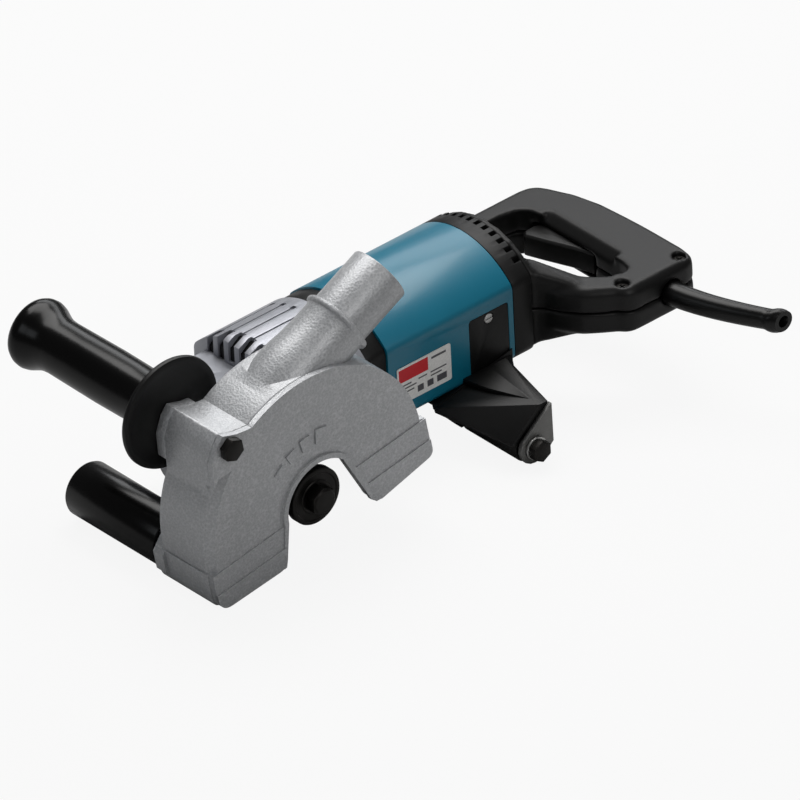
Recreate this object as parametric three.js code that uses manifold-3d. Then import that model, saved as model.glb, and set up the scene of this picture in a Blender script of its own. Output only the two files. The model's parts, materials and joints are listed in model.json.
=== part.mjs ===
// Wall chaser: a hand-held machine that cuts two parallel grooves in masonry.
//
// Everything is laid out in the tool's own frame, in millimetres: the spindle turns about Y through the
// origin, the rotor turns about X, +X points to the spade handle, +Y away from the disc guard and +Z up.
// At the end the whole tool is tipped so that it stands on its rollers, and moved so that the origin is
// under the middle of it, at floor level.

import * as THREE from 'three';
import { ConvexGeometry } from 'three/addons/geometries/ConvexGeometry.js';
import { mergeVertices } from 'three/addons/utils/BufferGeometryUtils.js';
import Module from 'manifold-3d';

const wasm = await Module();
wasm.setup();

// ---------------------------------------------------------------- driving dimensions, mm and degrees

const gap = 0.3;                   // clearance between neighbouring pieces
const rollerPlay = 0.5;            // clearance of a roller on its axle

// Motor and its crowned box section
const motorY = 104.8;              // rotor axis, measured from the guard's near face
const sectionWidth = 92;
const sectionHeight = 92;
const crownRadius = 62;            // arch of the top and bottom
const sectionCorner = 8;
const housingWall = 4;
const gearHousingStart = 34;       // stations along X
const baffleStart = 96;
const motorStart = 112;
const motorEnd = 215.5;
const ventRingEnd = 231;

// Gear train: a spur pinion that drives a crown gear
const pinionTeeth = 11;
const crownTeeth = 37;
const gearModule = 1.5;
const gearFace = 8;
const toothHeight = 2.4;

// Spindle and its stack
const spindleNose = 8;             // radius inside the guard
const spindleBody = 10;            // radius at the bearings
const flangeRadius = 19.4;
const flangeThickness = 6;
const flangeFace = -1;             // Y of the outer flange's outer face
const spacerCount = 3;
const discRoom = 2.4;              // left in front of the inner flange for a disc
const spindleBoltAcross = 17;
const spindleBoltHead = 7;

// Bearing box and gear head
const neckRadius = 30;             // the guard clamps on this neck
const headRadius = 38;
const headWall = 4;
const headTailRadius = 28;         // the head's far part, round the far bearing
const bearingOuter = 22;           // spindle bearing

// Guard
const hoodRadius = 87.5;
const guardWidth = 46;
const guardWall = 4;
const guardTilt = 9.5;             // the guard's place about the spindle at rest
const archX = 3.3;                 // opening in front of the flange
const archZ = -4.1;
const archRadius = flangeRadius + 8.4;
const lipWidth = 3.5;
const clampWidth = 10;
const gripBoltX = -54.9;
const gripBoltZ = 77.9;
const gripBoltRadius = 4;
const gripBoltAcross = 14;

// Dust nozzle
const nozzleY = 24.5;
const nozzleTilt = 17.85;
const nozzleX = 98.8;              // centre of its mouth
const nozzleZ = 100.3;
const nozzleRadius = 20;
const nozzleBore = 17.5;
const nozzleSleeve = 40;
const nozzleRootRadius = 22.2;
const nozzleBead = 23.4;           // ring where the sleeve begins
const nozzleReach = 125;           // from its mouth to where it runs into the hood

// Side grip
const handGuardRadius = 37.7;
const handGuardThickness = 4;
const gripRadius = 17.8;
const gripKnobRadius = 23.4;
const gripLength = 127.5;

// Rollers
const frontRollerRadius = 18.4;
const frontRollerLength = 83;
const frontAxleX = -70.5;
const frontAxleZ = -16.5;
const frontAxleRadius = 5;
const rearRollerRadius = 12;
const rearRollerLength = 52;
const rearAxleX = 178;
const rearAxleZ = -48;
const rearAxleRadius = 4;

// Spade handle
const handleHalf = 17;             // half of its thickness
const handleEdge = 4;
const handleWall = 4;
const gripEase = 7;                // slope on the grip's edges, where the fingers close round it
const triggerHalf = 8;
const triggerPinRadius = 1.8;
const cordGuardLength = 73;
const cordGuardRadius = 8;
const cordBore = 4;
const cordGuardBead = 8.4;         // radius of the bead at its tip
const cordGuardSweep = 27;

// Motor internals
const statorRadius = 38;
const armatureRadius = 24;
const airGap = 0.5;
const shaftRadius = 6;
const fanRadius = 34;
const fanBlades = 12;
const commutatorRadius = 14;

const largeSides = 30;               // sides of large, medium and small round pieces
const roundSides = 20;
const smallSides = 12;
const degrees = Math.PI / 180;

// ---------------------------------------------------------------- materials

const finish = (color, roughness, metalness) =>
  new THREE.MeshStandardMaterial({ color, roughness, metalness });

const hammered = () => finish(0x9a9da2, 0.5, 0.35);
const castAluminium = () => finish(0xb4b5ba, 0.45, 0.6);
const teal = () => finish(0x1f87a8, 0.35, 0.0);
const blackPlastic = () => finish(0x1d1d1e, 0.55, 0.0);
const blackRubber = () => finish(0x151515, 0.85, 0.0);
const blackSteel = () => finish(0x232221, 0.45, 0.7);
const brightSteel = () => finish(0xa6a6a4, 0.35, 0.9);
const copper = () => finish(0xb0693c, 0.4, 0.9);
const carbon = () => finish(0x2b2b2d, 0.7, 0.1);
const paper = () => finish(0xe4e2de, 0.5, 0.0);

// ---------------------------------------------------------------- solids

// Turns a closed geometry into a solid that can be joined and cut.
function solid(geometry) {
  const bare = geometry.clone();
  bare.deleteAttribute('normal');
  bare.deleteAttribute('uv');
  const merged = mergeVertices(bare, 1e-4);
  const place = merged.attributes.position;
  const corner = [0, 1, 2].map(() => new THREE.Vector3());
  const triangles = [];
  let volume = 0;
  for (let i = 0; i < merged.index.count; i += 3) {
    const [a, b, c] = [0, 1, 2].map((k) => merged.index.getX(i + k));
    if (a === b || b === c || c === a) continue;
    [a, b, c].forEach((v, k) => corner[k].fromBufferAttribute(place, v));
    volume += corner[0].dot(corner[1].clone().cross(corner[2]));
    triangles.push([a, b, c]);
  }
  const ordered = volume < 0 ? triangles.map(([a, b, c]) => [a, c, b]) : triangles;
  return new wasm.Manifold(new wasm.Mesh({
    numProp: 3,
    vertProperties: new Float32Array(place.array),
    triVerts: new Uint32Array(ordered.flat()),
  }));
}

const join = (first, ...rest) => rest.reduce((sum, piece) => sum.add(piece), first);
const cut = (first, ...rest) => rest.reduce((sum, piece) => sum.subtract(piece), first);

function toGeometry(piece) {
  const mesh = piece.getMesh();
  const geometry = new THREE.BufferGeometry();
  geometry.setAttribute('position', new THREE.BufferAttribute(new Float32Array(mesh.vertProperties), 3));
  geometry.setIndex(new THREE.BufferAttribute(new Uint32Array(mesh.triVerts), 1));
  return geometry;
}

const block = (x0, x1, y0, y1, z0, z1) =>
  solid(new THREE.BoxGeometry(x1 - x0, y1 - y0, z1 - z0)
    .translate((x0 + x1) / 2, (y0 + y1) / 2, (z0 + z1) / 2));

// Turns a geometry made along Y so that it lies along the named axis.
const turnTo = {
  x: (geometry) => geometry.rotateZ(-Math.PI / 2),
  y: (geometry) => geometry,
  z: (geometry) => geometry.rotateX(Math.PI / 2),
};

// A round bar along an axis, from one station to another, about the point (x, y, z).
function bar(axis, radius, from, to, at = [0, 0, 0], sides = roundSides) {
  const geometry = new THREE.CylinderGeometry(radius, radius, to - from, sides);
  geometry.translate(0, (from + to) / 2, 0);
  return solid(turnTo[axis](geometry).translate(...at));
}

// A turned piece: the profile holds [radius, station] pairs and closes on the axis or on itself.
function turned(axis, profile, at = [0, 0, 0], sides = roundSides) {
  const points = profile.map(([radius, station]) => new THREE.Vector2(radius, station));
  return solid(turnTo[axis](new THREE.LatheGeometry(points, sides)).translate(...at));
}

const hexagon = (axis, across, from, to, at) => bar(axis, across / Math.sqrt(3), from, to, at, 6);

// A prism of an outline. Its plane is XZ for a prism along Y, YZ along X, and XY along Z. The edges are
// bevelled inwards, or the middle stands out by the amount that the outline is told to grow.
const planes = {
  x: [[0, 1, 0], [0, 0, 1], [1, 0, 0]],
  y: [[1, 0, 0], [0, 0, 1], [0, -1, 0]],
  z: [[1, 0, 0], [0, 1, 0], [0, 0, 1]],
};

function prism(axis, shape, from, to, edge = 0, curveSegments = 4, grow = 0) {
  const geometry = new THREE.ExtrudeGeometry(shape, {
    depth: to - from - 2 * edge,
    curveSegments,
    bevelEnabled: edge > 0,
    bevelThickness: edge,
    bevelSize: edge,
    bevelOffset: grow - edge,
    bevelSegments: 1,
  });
  const start = axis === 'y' ? -to : from;
  geometry.translate(0, 0, start + edge);
  const [u, v, w] = planes[axis].map((part) => new THREE.Vector3(...part));
  return solid(geometry.applyMatrix4(new THREE.Matrix4().makeBasis(u, v, w)));
}

function outline(points) {
  return new THREE.Shape(points.map(([a, b]) => new THREE.Vector2(a, b)));
}

// A rectangle with round corners, given by its middle and its size.
function roundedRectangle(a, b, width, height, radius) {
  const shape = new THREE.Shape();
  const [w, h] = [width / 2 - radius, height / 2 - radius];
  shape.absarc(a + w, b + h, radius, 0, Math.PI / 2);
  shape.absarc(a - w, b + h, radius, Math.PI / 2, Math.PI);
  shape.absarc(a - w, b - h, radius, Math.PI, 1.5 * Math.PI);
  shape.absarc(a + w, b - h, radius, 1.5 * Math.PI, 2 * Math.PI);
  return shape;
}

// Part of a ring between two radii and two angles in degrees.
function ringSector(a, b, inner, outer, from, to) {
  const shape = new THREE.Shape();
  shape.absarc(a, b, outer, from * degrees, to * degrees, false);
  shape.absarc(a, b, inner, to * degrees, from * degrees, true);
  return shape;
}

// ---------------------------------------------------------------- the tree

const tool = new THREE.Group();
const guardGroup = new THREE.Group();
guardGroup.rotation.y = -guardTilt * degrees;
tool.add(guardGroup);

function add(name, piece, material, parent = tool) {
  const mesh = new THREE.Mesh(toGeometry(piece), material);
  mesh.name = name;
  parent.add(mesh);
  return mesh;
}

// ---------------------------------------------------------------- motor section

// Flat sides, arched top and bottom, rounded corners; inset shrinks it evenly.
function section(inset = 0) {
  const corner = Math.max(sectionCorner - inset, 1);
  const crown = crownRadius - inset;
  const rise = sectionHeight / 2 - crownRadius;
  const a = sectionWidth / 2 - inset - corner;
  const b = rise + Math.sqrt((crown - corner) ** 2 - a ** 2);
  const lean = Math.atan2(b - rise, a);
  const shape = new THREE.Shape();
  shape.absarc(motorY + a, b, corner, 0, lean);
  shape.absarc(motorY, rise, crown, lean, Math.PI - lean);
  shape.absarc(motorY - a, b, corner, Math.PI - lean, Math.PI);
  shape.absarc(motorY - a, -b, corner, Math.PI, Math.PI + lean);
  shape.absarc(motorY, -rise, crown, Math.PI + lean, 2 * Math.PI - lean);
  shape.absarc(motorY + a, -b, corner, 2 * Math.PI - lean, 2 * Math.PI);
  return shape;
}

const sideNear = motorY - sectionWidth / 2;
const sideFar = motorY + sectionWidth / 2;
const onMotor = [0, motorY, 0];

// ---------------------------------------------------------------- motor housing and brush gear

const brushX = 195;
const brushHalf = [3, 4];                       // half width along X and along Z
const brushCover = { length: 32, height: 40, z: -3.5, thickness: 2.6, corner: 2 };
const holderWall = 2.4;
const brushScrewZ = 12;
const ventSeat = 12;                            // radius of the rear rotor bearing

function brushWindow(side) {
  const outer = side < 0 ? sideNear : sideFar;
  const depth = brushCover.thickness + gap;
  const recess = roundedRectangle(
    brushX, brushCover.z, brushCover.length + 2 * gap, brushCover.height + 2 * gap, brushCover.corner + gap);
  const [from, to] = side < 0 ? [outer - 1, outer + depth] : [outer - depth, outer + 1];
  const hole = [brushHalf[0] + holderWall + gap, brushHalf[1] + holderWall + gap];
  const screwRoom = bar('y', 1.6 + gap, from - 3, to + 3, [brushX, 0, brushScrewZ], smallSides);
  return join(
    prism('y', recess, from, to),
    block(brushX - hole[0], brushX + hole[0], from - 6, to + 6, -hole[1], hole[1]),
    screwRoom);
}

function motorHousing() {
  const [from, to] = [motorStart + gap, motorEnd - gap];
  const shell = cut(prism('x', section(), from, to), prism('x', section(housingWall), from - 1, to + 1));
  const ribs = join(
    block(from + 6, to - 30, motorY - 4, motorY + 4, -44, 44),
    block(from + 6, to - 30, sideNear + 1, sideFar - 1, -4, 4));
  const seat = bar('x', statorRadius + gap, from - 1, to + 1, onMotor, largeSides);
  return cut(join(shell, cut(ribs, seat)), brushWindow(-1), brushWindow(1));
}

add('motor_housing', motorHousing(), teal());

for (const [which, side] of [['near', -1], ['far', 1]]) {
  const outer = side < 0 ? sideNear : sideFar;
  const span = (near, far) => (side < 0 ? [outer + near, outer + far] : [outer - far, outer - near]);
  const cover = roundedRectangle(
    brushX, brushCover.z, brushCover.length, brushCover.height, brushCover.corner);
  const screwHole = bar('y', 1.6 + gap, ...span(-2, 6), [brushX, 0, brushScrewZ], smallSides);
  const headSeat = bar('y', 3.4 + gap, ...span(-1, 1.3), [brushX, 0, brushScrewZ], smallSides);
  add(`brush_cover_${which}`, cut(prism('y', cover, ...span(0, brushCover.thickness)), screwHole, headSeat),
    blackPlastic());

  const slot = block(brushX - 4, brushX + 4, ...span(-1, 0.5), brushScrewZ - 0.5, brushScrewZ + 0.5);
  const coverScrew = join(
    bar('y', 3.4, ...span(-0.2, 1.1), [brushX, 0, brushScrewZ], smallSides),
    bar('y', 1.6, ...span(0.8, 5), [brushX, 0, brushScrewZ], smallSides));
  add(`brush_cover_screw_${which}`, cut(coverScrew, slot), brightSteel());

  const [bx, bz] = brushHalf;
  const reach = sectionWidth / 2 - commutatorRadius;
  const holder = cut(
    block(brushX - bx - holderWall, brushX + bx + holderWall, ...span(4, reach - 3),
      -bz - holderWall, bz + holderWall),
    block(brushX - bx - gap, brushX + bx + gap, ...span(3, reach), -bz - gap, bz + gap));
  add(`brush_holder_${which}`, holder, brightSteel());
  add(`carbon_brush_${which}`,
    block(brushX - bx, brushX + bx, ...span(reach - 18, reach - gap), -bz, bz), carbon());
}

const label = { x: 140.5, z: -3.8, length: 44, height: 26.5, thickness: 0.6 };
add('rating_plate', prism('y', roundedRectangle(label.x, label.z, label.length, label.height, 1.5),
  sideNear - gap - label.thickness, sideNear - gap), paper());

// ---------------------------------------------------------------- stator and rotor

const coreStart = 122;
const coreEnd = 182;
const coilReach = 8;                            // how far the coils stand out of the core
const coilOuter = 32;
const frontBearing = { radius: 16, from: 42, to: 54 };
const rearBearing = { radius: ventSeat, from: 217, to: 227 };
const pinionRadius = gearModule * pinionTeeth / 2;
const crownPitch = gearModule * crownTeeth / 2;
const crownFaceY = motorY - pinionRadius;       // the plane where the teeth meet

function stator() {
  const bore = bar('x', armatureRadius + airGap, coreStart - 3, coreEnd + 3, onMotor, largeSides);
  const core = cut(bar('x', statorRadius, coreStart - 2, coreEnd + 2, onMotor, largeSides), bore);
  const slots = [90, 270].map((angle) =>
    prism('x', ringSector(motorY, 0, armatureRadius, coilOuter, angle - 46, angle + 46),
      coreStart - 3, coreEnd + 3));
  return cut(core, ...slots);
}

add('stator_core', stator(), brightSteel());
for (const [place, angle] of [['upper', 90], ['lower', 270]]) {
  const sector = ringSector(
    motorY, 0, armatureRadius + airGap + 1, coilOuter - 0.5, angle - 42, angle + 42);
  add(`field_coil_${place}`, prism('x', sector, coreStart - coilReach, coreEnd + coilReach), copper());
}

function armature() {
  const slots = Array.from({ length: 12 }, (_, i) => {
    const slot = new THREE.BoxGeometry(coreEnd - coreStart + 2, 2.5, 5)
      .translate((coreStart + coreEnd) / 2, 0, armatureRadius)
      .rotateX(i * 30 * degrees)
      .translate(...onMotor);
    return solid(slot);
  });
  const core = bar('x', armatureRadius, coreStart, coreEnd, onMotor, largeSides);
  return cut(core, bar('x', shaftRadius + gap, coreStart - 1, coreEnd + 1, onMotor), ...slots);
}

add('armature_core', armature(), brightSteel());
add('armature_shaft', bar('x', shaftRadius, 16, rearBearing.to + 1, onMotor), brightSteel());

const sleeve = (outer, inner, from, to, sides = roundSides) =>
  cut(bar('x', outer, from, to, onMotor, sides), bar('x', inner, from - 1, to + 1, onMotor, sides));

add('commutator', sleeve(commutatorRadius, shaftRadius + gap, coreEnd + 5, coreEnd + 24), copper());
for (const [place, seat] of [['front', frontBearing], ['rear', rearBearing]]) {
  add(`rotor_${place}_bearing`, sleeve(seat.radius - gap, shaftRadius + gap, seat.from + gap, seat.to),
    brightSteel());
}

function fan() {
  const [from, disc, to] = [72, 75, 90];
  const blades = Array.from({ length: fanBlades }, (_, i) => solid(
    new THREE.BoxGeometry(to - disc + 1, 2, fanRadius - 15)
      .translate((disc + to - 1) / 2, 0, (fanRadius + 15) / 2)
      .rotateX(i * 360 / fanBlades * degrees)
      .translate(...onMotor)));
  const hub = bar('x', 16, from, to, onMotor);
  const bore = bar('x', shaftRadius + gap, from - 1, to + 1, onMotor);
  return cut(join(bar('x', fanRadius, from, disc, onMotor), hub, ...blades), bore);
}

add('cooling_fan', fan(), blackPlastic());

// The pinion's outline: one tooth points at the crown gear.
function pinion() {
  const [root, tip] = [pinionRadius - toothHeight / 2, pinionRadius + toothHeight / 2];
  const pitch = 2 * Math.PI / pinionTeeth;
  const points = [];
  for (let i = 0; i < pinionTeeth; i += 1) {
    const middle = Math.PI + i * pitch;
    for (const [share, radius] of [[-0.25, root], [-0.1, tip], [0.1, tip], [0.25, root]]) {
      const angle = middle + share * pitch;
      points.push([motorY + radius * Math.cos(angle), radius * Math.sin(angle)]);
    }
  }
  const [from, to] = [crownPitch - gearFace / 2 - 1, crownPitch + gearFace / 2 + 1];
  return cut(prism('x', outline(points), from, to),
    bar('x', shaftRadius + gap / 2, from - 1, to + 1, onMotor));
}

add('pinion', pinion(), blackSteel());

// ---------------------------------------------------------------- spindle and its stack

const headNear = 64;                            // Y where the gear head's shell begins
const headStep = 106;                           // Y where the head narrows
const headFar = 142;
const shoulder = guardWidth;                    // Y where the spindle grows to its body radius
const nearBearing = { from: 50, to: 60 };
const farBearing = { radius: 13, from: 124, to: 136 };
const lockRadius = 18;                          // the shaft lock's distance from the spindle
const lockAt = [0, 0, lockRadius];
const lockPin = 3;
const lockButton = 7;
const lockTravel = 4;
const lockSeat = headFar - 5;

const crownBody = { outer: crownPitch + gearFace / 2 + 1, thickness: 9 };
const toothPlay = 0.4;
const crownTopY = crownFaceY - toothHeight / 2 - toothPlay; // floor between the teeth

function crownGear() {
  const back = crownTopY - crownBody.thickness;
  const blank = cut(bar('y', crownBody.outer, back, crownTopY, undefined, largeSides),
    bar('y', spindleBody + gap, back - 1, crownTopY + 1));
  const lockGroove = cut(
    bar('y', lockRadius + lockPin + 0.8, crownTopY - 5, crownTopY + 1, undefined, largeSides),
    bar('y', lockRadius - lockPin - 0.6, crownTopY - 6, crownTopY + 2, undefined, largeSides));
  const pitch = 360 / crownTeeth;
  const teeth = Array.from({ length: crownTeeth }, (_, i) => solid(
    new THREE.BoxGeometry(gearFace, toothHeight - 0.2, 1.3)
      .translate(crownPitch, crownTopY + (toothHeight - 0.2) / 2 - 0.1, 0)
      .rotateY((i + 0.5) * pitch * degrees)));
  return join(cut(blank, lockGroove), ...teeth);
}

const boltShank = 5;
const spindleStart = flangeFace + flangeThickness + gap;
const stackEnd = shoulder - gap;

function spindle() {
  const profile = [
    [0, spindleStart], [spindleNose, spindleStart], [spindleNose, shoulder],
    [spindleBody, shoulder], [spindleBody, farBearing.from - 1], [spindleBody - 1, farBearing.from - 1],
    [spindleBody - 1, farBearing.to - 1], [0, farBearing.to - 1],
  ];
  const thread = bar('y', boltShank + gap, spindleStart - 1, spindleStart + 20);
  return cut(turned('y', profile), thread);
}

function spindleBolt() {
  const head = flangeFace - gap;
  const tip = new THREE.CylinderGeometry(spindleBoltAcross / 2 - 1, spindleBoltAcross / 2, 1, roundSides)
    .rotateX(Math.PI).translate(0, head - spindleBoltHead - 0.5, 0);
  return join(
    hexagon('y', spindleBoltAcross, head - spindleBoltHead, head),
    solid(tip),
    bar('y', boltShank, head - 0.5, spindleStart + 18));
}

const ring = (outer, inner, from, to) =>
  cut(bar('y', outer, from, to), bar('y', inner, from - 1, to + 1));

add('spindle', spindle(), brightSteel());
add('crown_gear', crownGear(), blackSteel());
add('spindle_bolt', spindleBolt(), blackSteel());
add('outer_flange', turned('y', [
  [boltShank + gap, flangeFace], [flangeRadius - 1, flangeFace], [flangeRadius, flangeFace + 1],
  [flangeRadius, flangeFace + flangeThickness], [boltShank + gap, flangeFace + flangeThickness],
  [boltShank + gap, flangeFace],
]), blackSteel());

const innerFlange = stackEnd - 9;
const spacerWidth = (innerFlange - discRoom - spindleStart) / spacerCount - gap;
for (let i = 0; i < spacerCount; i += 1) {
  const from = spindleStart + gap / 2 + i * (spacerWidth + gap);
  add(`spacer_ring_${i + 1}`, ring(flangeRadius - 1.5, spindleNose + gap, from, from + spacerWidth),
    brightSteel());
}
add('inner_flange', ring(flangeRadius, spindleNose + gap, innerFlange, stackEnd), blackSteel());

// ---------------------------------------------------------------- gear housing

const slotCount = 7;
const slotPitch = 10;
const slotHalf = 2.8;
const slotLength = 10.5;
const slotDepth = 17;
const grooveHalf = 0.7;
const pocketHalf = 1.7;
const frontSlope = { length: 8.8, drop: 3.8 };   // flat on the block's top front edge
const bulkhead = frontBearing.to + 2;

// Deep slots in the front of the block, each with a narrow groove that runs back over the top.
function coolingSlots() {
  const middle = (slotCount - 1) / 2;
  return Array.from({ length: slotCount }, (_, i) => {
    const y = motorY + (i - middle) * slotPitch;
    const crest = sectionHeight / 2 - crownRadius + Math.sqrt(crownRadius ** 2 - (y - motorY) ** 2);
    return join(
      block(gearHousingStart - 1, gearHousingStart + slotLength, y - slotHalf, y + slotHalf,
        crest - slotDepth, crest + 6),
      block(gearHousingStart + slotLength - 1, baffleStart - 9, y - grooveHalf, y + grooveHalf,
        crest - 1.6, crest + 6),
      block(baffleStart - 9 - 2 * pocketHalf, baffleStart - 9, y - pocketHalf, y + pocketHalf,
        crest - 2.4, crest + 6));
  });
}

function gearHousing() {
  const [from, to] = [gearHousingStart, baffleStart - gap];
  const top = sectionHeight / 2;
  const slope = prism('y', outline([
    [from - 1, top - frontSlope.drop], [from, top - frontSlope.drop], [from + frontSlope.length, top],
    [from + frontSlope.length, top + 5], [from - 1, top + 5],
  ]), sideNear - 1, sideFar + 1);
  const rear = cut(prism('x', section(), from, to), slope);
  const head = join(
    bar('y', headRadius, headNear + gap, headStep, undefined, largeSides),
    bar('y', headTailRadius, headStep - 1, headFar, undefined, largeSides),
    block(0, from + 8, headNear + gap, headStep, -headRadius + 2, 30),
    block(0, from + 8, headStep - 1, headFar, 4 - headTailRadius, headTailRadius - 2));
  const gearSpace = join(
    bar('y', headRadius - headWall, headNear - 1, headStep - headWall, undefined, largeSides),
    bar('y', headTailRadius - headWall, headStep - headWall - 1, headFar - headWall),
    block(headTailRadius - headWall - 6, frontBearing.from - 3, motorY - 12, motorY + 12, -12, 12));
  const fanSpace = cut(prism('x', section(housingWall), bulkhead, to + 1));
  const boss = bar('y', farBearing.radius + 4, farBearing.from - 1, headFar - 1);
  const coverSeat = bar('y', headRadius - 1 + gap, headNear - 8, headNear + gap, undefined, largeSides);
  return cut(
    join(cut(join(rear, head), gearSpace), boss),
    fanSpace,
    coverSeat,
    bar('y', farBearing.radius, farBearing.from - 2, farBearing.to),
    bar('x', frontBearing.radius, frontBearing.from, bulkhead + 1, onMotor),
    bar('x', shaftRadius + 2, frontBearing.from - 5, frontBearing.from + 1, onMotor),
    bar('y', lockPin + gap, farBearing.from - 5, headFar, lockAt, smallSides),
    bar('y', lockButton + gap, lockSeat, headFar + 1, lockAt, smallSides),
    ...coolingSlots());
}

add('gear_housing', gearHousing(), castAluminium());

const boxFlange = 58;
const boxProfile = [
  [spindleBody + 3, shoulder], [neckRadius, shoulder], [neckRadius, boxFlange],
  [headRadius - 1, boxFlange], [headRadius - 1, headNear], [headRadius - headWall - gap, headNear],
  [headRadius - headWall - gap, headNear + 4], [bearingOuter + gap, headNear + 4],
  [bearingOuter + gap, nearBearing.from], [spindleBody + 3, nearBearing.from], [spindleBody + 3, shoulder],
];
add('bearing_box', turned('y', boxProfile, undefined, largeSides), castAluminium());
add('spindle_near_bearing', ring(bearingOuter, spindleBody + gap, nearBearing.from + gap, nearBearing.to),
  brightSteel());
add('spindle_far_bearing',
  ring(farBearing.radius - gap, spindleBody - 1 + gap, farBearing.from, farBearing.to - gap), brightSteel());

add('shaft_lock', join(
  bar('y', lockButton, lockSeat + lockTravel + gap, headFar + 5, lockAt, smallSides),
  bar('y', lockPin, crownTopY + 1.5, headFar, lockAt, smallSides)), blackPlastic());

// ---------------------------------------------------------------- baffle and vent rings

add('baffle_ring', cut(
  prism('x', section(1), baffleStart + gap, motorStart - gap),
  bar('x', 30, baffleStart - 1, motorStart + 1, onMotor, largeSides),
  prism('x', section(housingWall + 1), baffleStart + 5, motorStart + 1)), blackPlastic());

function ventRing() {
  const [from, to] = [motorEnd + gap, ventRingEnd - gap];
  const shell = cut(prism('x', section(), from, to), prism('x', section(housingWall), from - 1, to + 1));
  const spokes = cut(
    join(
      bar('x', ventSeat + 4, rearBearing.from - 1, rearBearing.to + 2, onMotor),
      block(rearBearing.from + 3, rearBearing.to, motorY - 3, motorY + 3, -44, 44),
      block(rearBearing.from + 3, rearBearing.to, sideNear + 2, sideFar - 2, -3, 3)),
    bar('x', ventSeat, rearBearing.from - 2, rearBearing.to + gap, onMotor),
    bar('x', shaftRadius + 1, rearBearing.to, rearBearing.to + 4, onMotor));
  const teeth = Array.from({ length: 11 }, (_, i) => {
    const y = motorY + (i - 5) * 7;
    return block(to - 4, to + 1, y - 1.7, y + 1.7, 0, 60);
  });
  return cut(join(shell, spokes), ...teeth);
}

add('vent_ring', ventRing(), blackPlastic());

// ---------------------------------------------------------------- spade handle

// Plan points of the handle are measured from the near corner of the motor housing's rear end.
const plan = (u, v) => [motorEnd + u, sideNear + v];
const handlePoint = (u, v) => new THREE.Vector2(...plan(u, v));
const rootStart = ventRingEnd - motorEnd;
const rootEnd = rootStart + 5;
const nearFace = -45;                           // near end of the handle, in plan
const gripFront = 76;
const pivot = { u: 80.5, v: 16 };
const grip = { outer: 108, from: -38, to: 66 };
const switchFront = 91.5;
const cordU = 91;
const screwPlaces = [[60, -34], [105.5, -36], [34, 84]];

function handlePlan() {
  const shape = new THREE.Shape();
  const line = (u, v) => shape.lineTo(...plan(u, v));
  const curve = (cu, cv, u, v) => shape.quadraticCurveTo(...plan(cu, cv), ...plan(u, v));
  shape.moveTo(...plan(rootStart + 1, 91.5));
  line(84, 91.5);
  curve(97, 91, 101, 80);
  curve(114, 56, 114.3, roundSides);
  curve(115.5, 0, 115.3, -29);
  curve(115, nearFace, 104, nearFace);
  line(63, nearFace);
  curve(56, nearFace, 52, -38);
  curve(40, -30, 34.5, -24.5);
  curve(26, -14, 23, -4.6);
  curve(20, 2, rootStart + 1, 4);
  return shape;
}

function handleHole() {
  const hole = new THREE.Shape();
  hole.moveTo(...plan(rootEnd, 15));
  hole.quadraticCurveTo(...plan(30, 13), ...plan(36, 6));
  hole.quadraticCurveTo(...plan(48, -14), ...plan(60, -22));
  hole.quadraticCurveTo(...plan(gripFront, -32), ...plan(gripFront, -14));
  hole.lineTo(...plan(gripFront, 58));
  hole.quadraticCurveTo(...plan(gripFront, 75), ...plan(58, 75.5));
  hole.lineTo(...plan(rootEnd, 76));
  return hole;
}

// The near arm grows to the height of the motor where it meets it.
function rootFairing() {
  const points = [];
  for (const side of [-1, 1]) {
    for (const [u, v, z] of [
      [rootStart + 2, 1.5, 22], [rootStart + 2, 4, 27], [rootStart + 2, 22, 34], [rootEnd + 2, 18, 31],
      [34, -12, 18], [46, -28, 14], [50, -14, 15], [38, 2, 16],
    ]) {
      points.push(new THREE.Vector3(...plan(u, v), side * z));
    }
  }
  return solid(new ConvexGeometry(points));
}

function handle() {
  const corner = handlePoint(cordU, nearFace);
  const body = join(
    prism('z', handlePlan(), -handleHalf, handleHalf, handleEdge, 3),
    prism('x', section(1), motorEnd + rootStart + gap, motorEnd + rootEnd),
    rootFairing());
  const hole = prism('z', handleHole(), -2 * handleHalf, 2 * handleHalf, 0, 3);
  const reach = 3 * handleHalf;
  const [ex, ey] = plan(gripFront - 12, -8);
  const easedSide = block(ex, ex + 40, ey, ey + 66, -reach, reach);
  const easing = join(
    prism('z', handleHole(), handleHalf - gripEase, reach, gripEase, 3, gripEase),
    prism('z', handleHole(), -reach, gripEase - handleHalf, gripEase, 3, gripEase)).intersect(easedSide);
  const [x0, y0] = plan(gripFront + handleWall, grip.from);
  const [x1, y1] = plan(grip.outer - handleWall + 2, grip.to);
  const inside = handleHalf - handleWall;
  const [sx0, sy0] = plan(55, 10.5);
  const [sx1, sy1] = plan(switchFront, 67);
  return cut(
    body,
    hole,
    easing,
    bar('x', 16, motorEnd + rootStart - 1, motorEnd + rootEnd + 1, onMotor),
    block(x0, x1, y0 + 8, y1 - 8, -inside, inside),
    block(sx0, sx1, sy0, sy1, -triggerHalf - 0.4, triggerHalf + 0.4),
    bar('z', triggerPinRadius + gap, -12, 12, [...plan(pivot.u, pivot.v), 0], smallSides),
    bar('y', cordGuardRadius + gap, corner.y - 1, corner.y + 16, [corner.x, 0, 0]),
    bar('z', 5 + gap, -handleHalf - 1, 0, [...lockButtonAt, 0], smallSides));
}

const lockButtonAt = plan(94, -10);
const handleScrew = { head: 4, shank: 2, seat: 11, bottom: -9 };

function screwHole([u, v]) {
  const at = [...plan(u, v), 0];
  return join(
    bar('z', handleScrew.head + gap, handleScrew.seat, handleHalf + 1, at, smallSides),
    bar('z', handleScrew.shank + gap, handleScrew.bottom - 1, handleScrew.seat + 1, at, smallSides));
}

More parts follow.
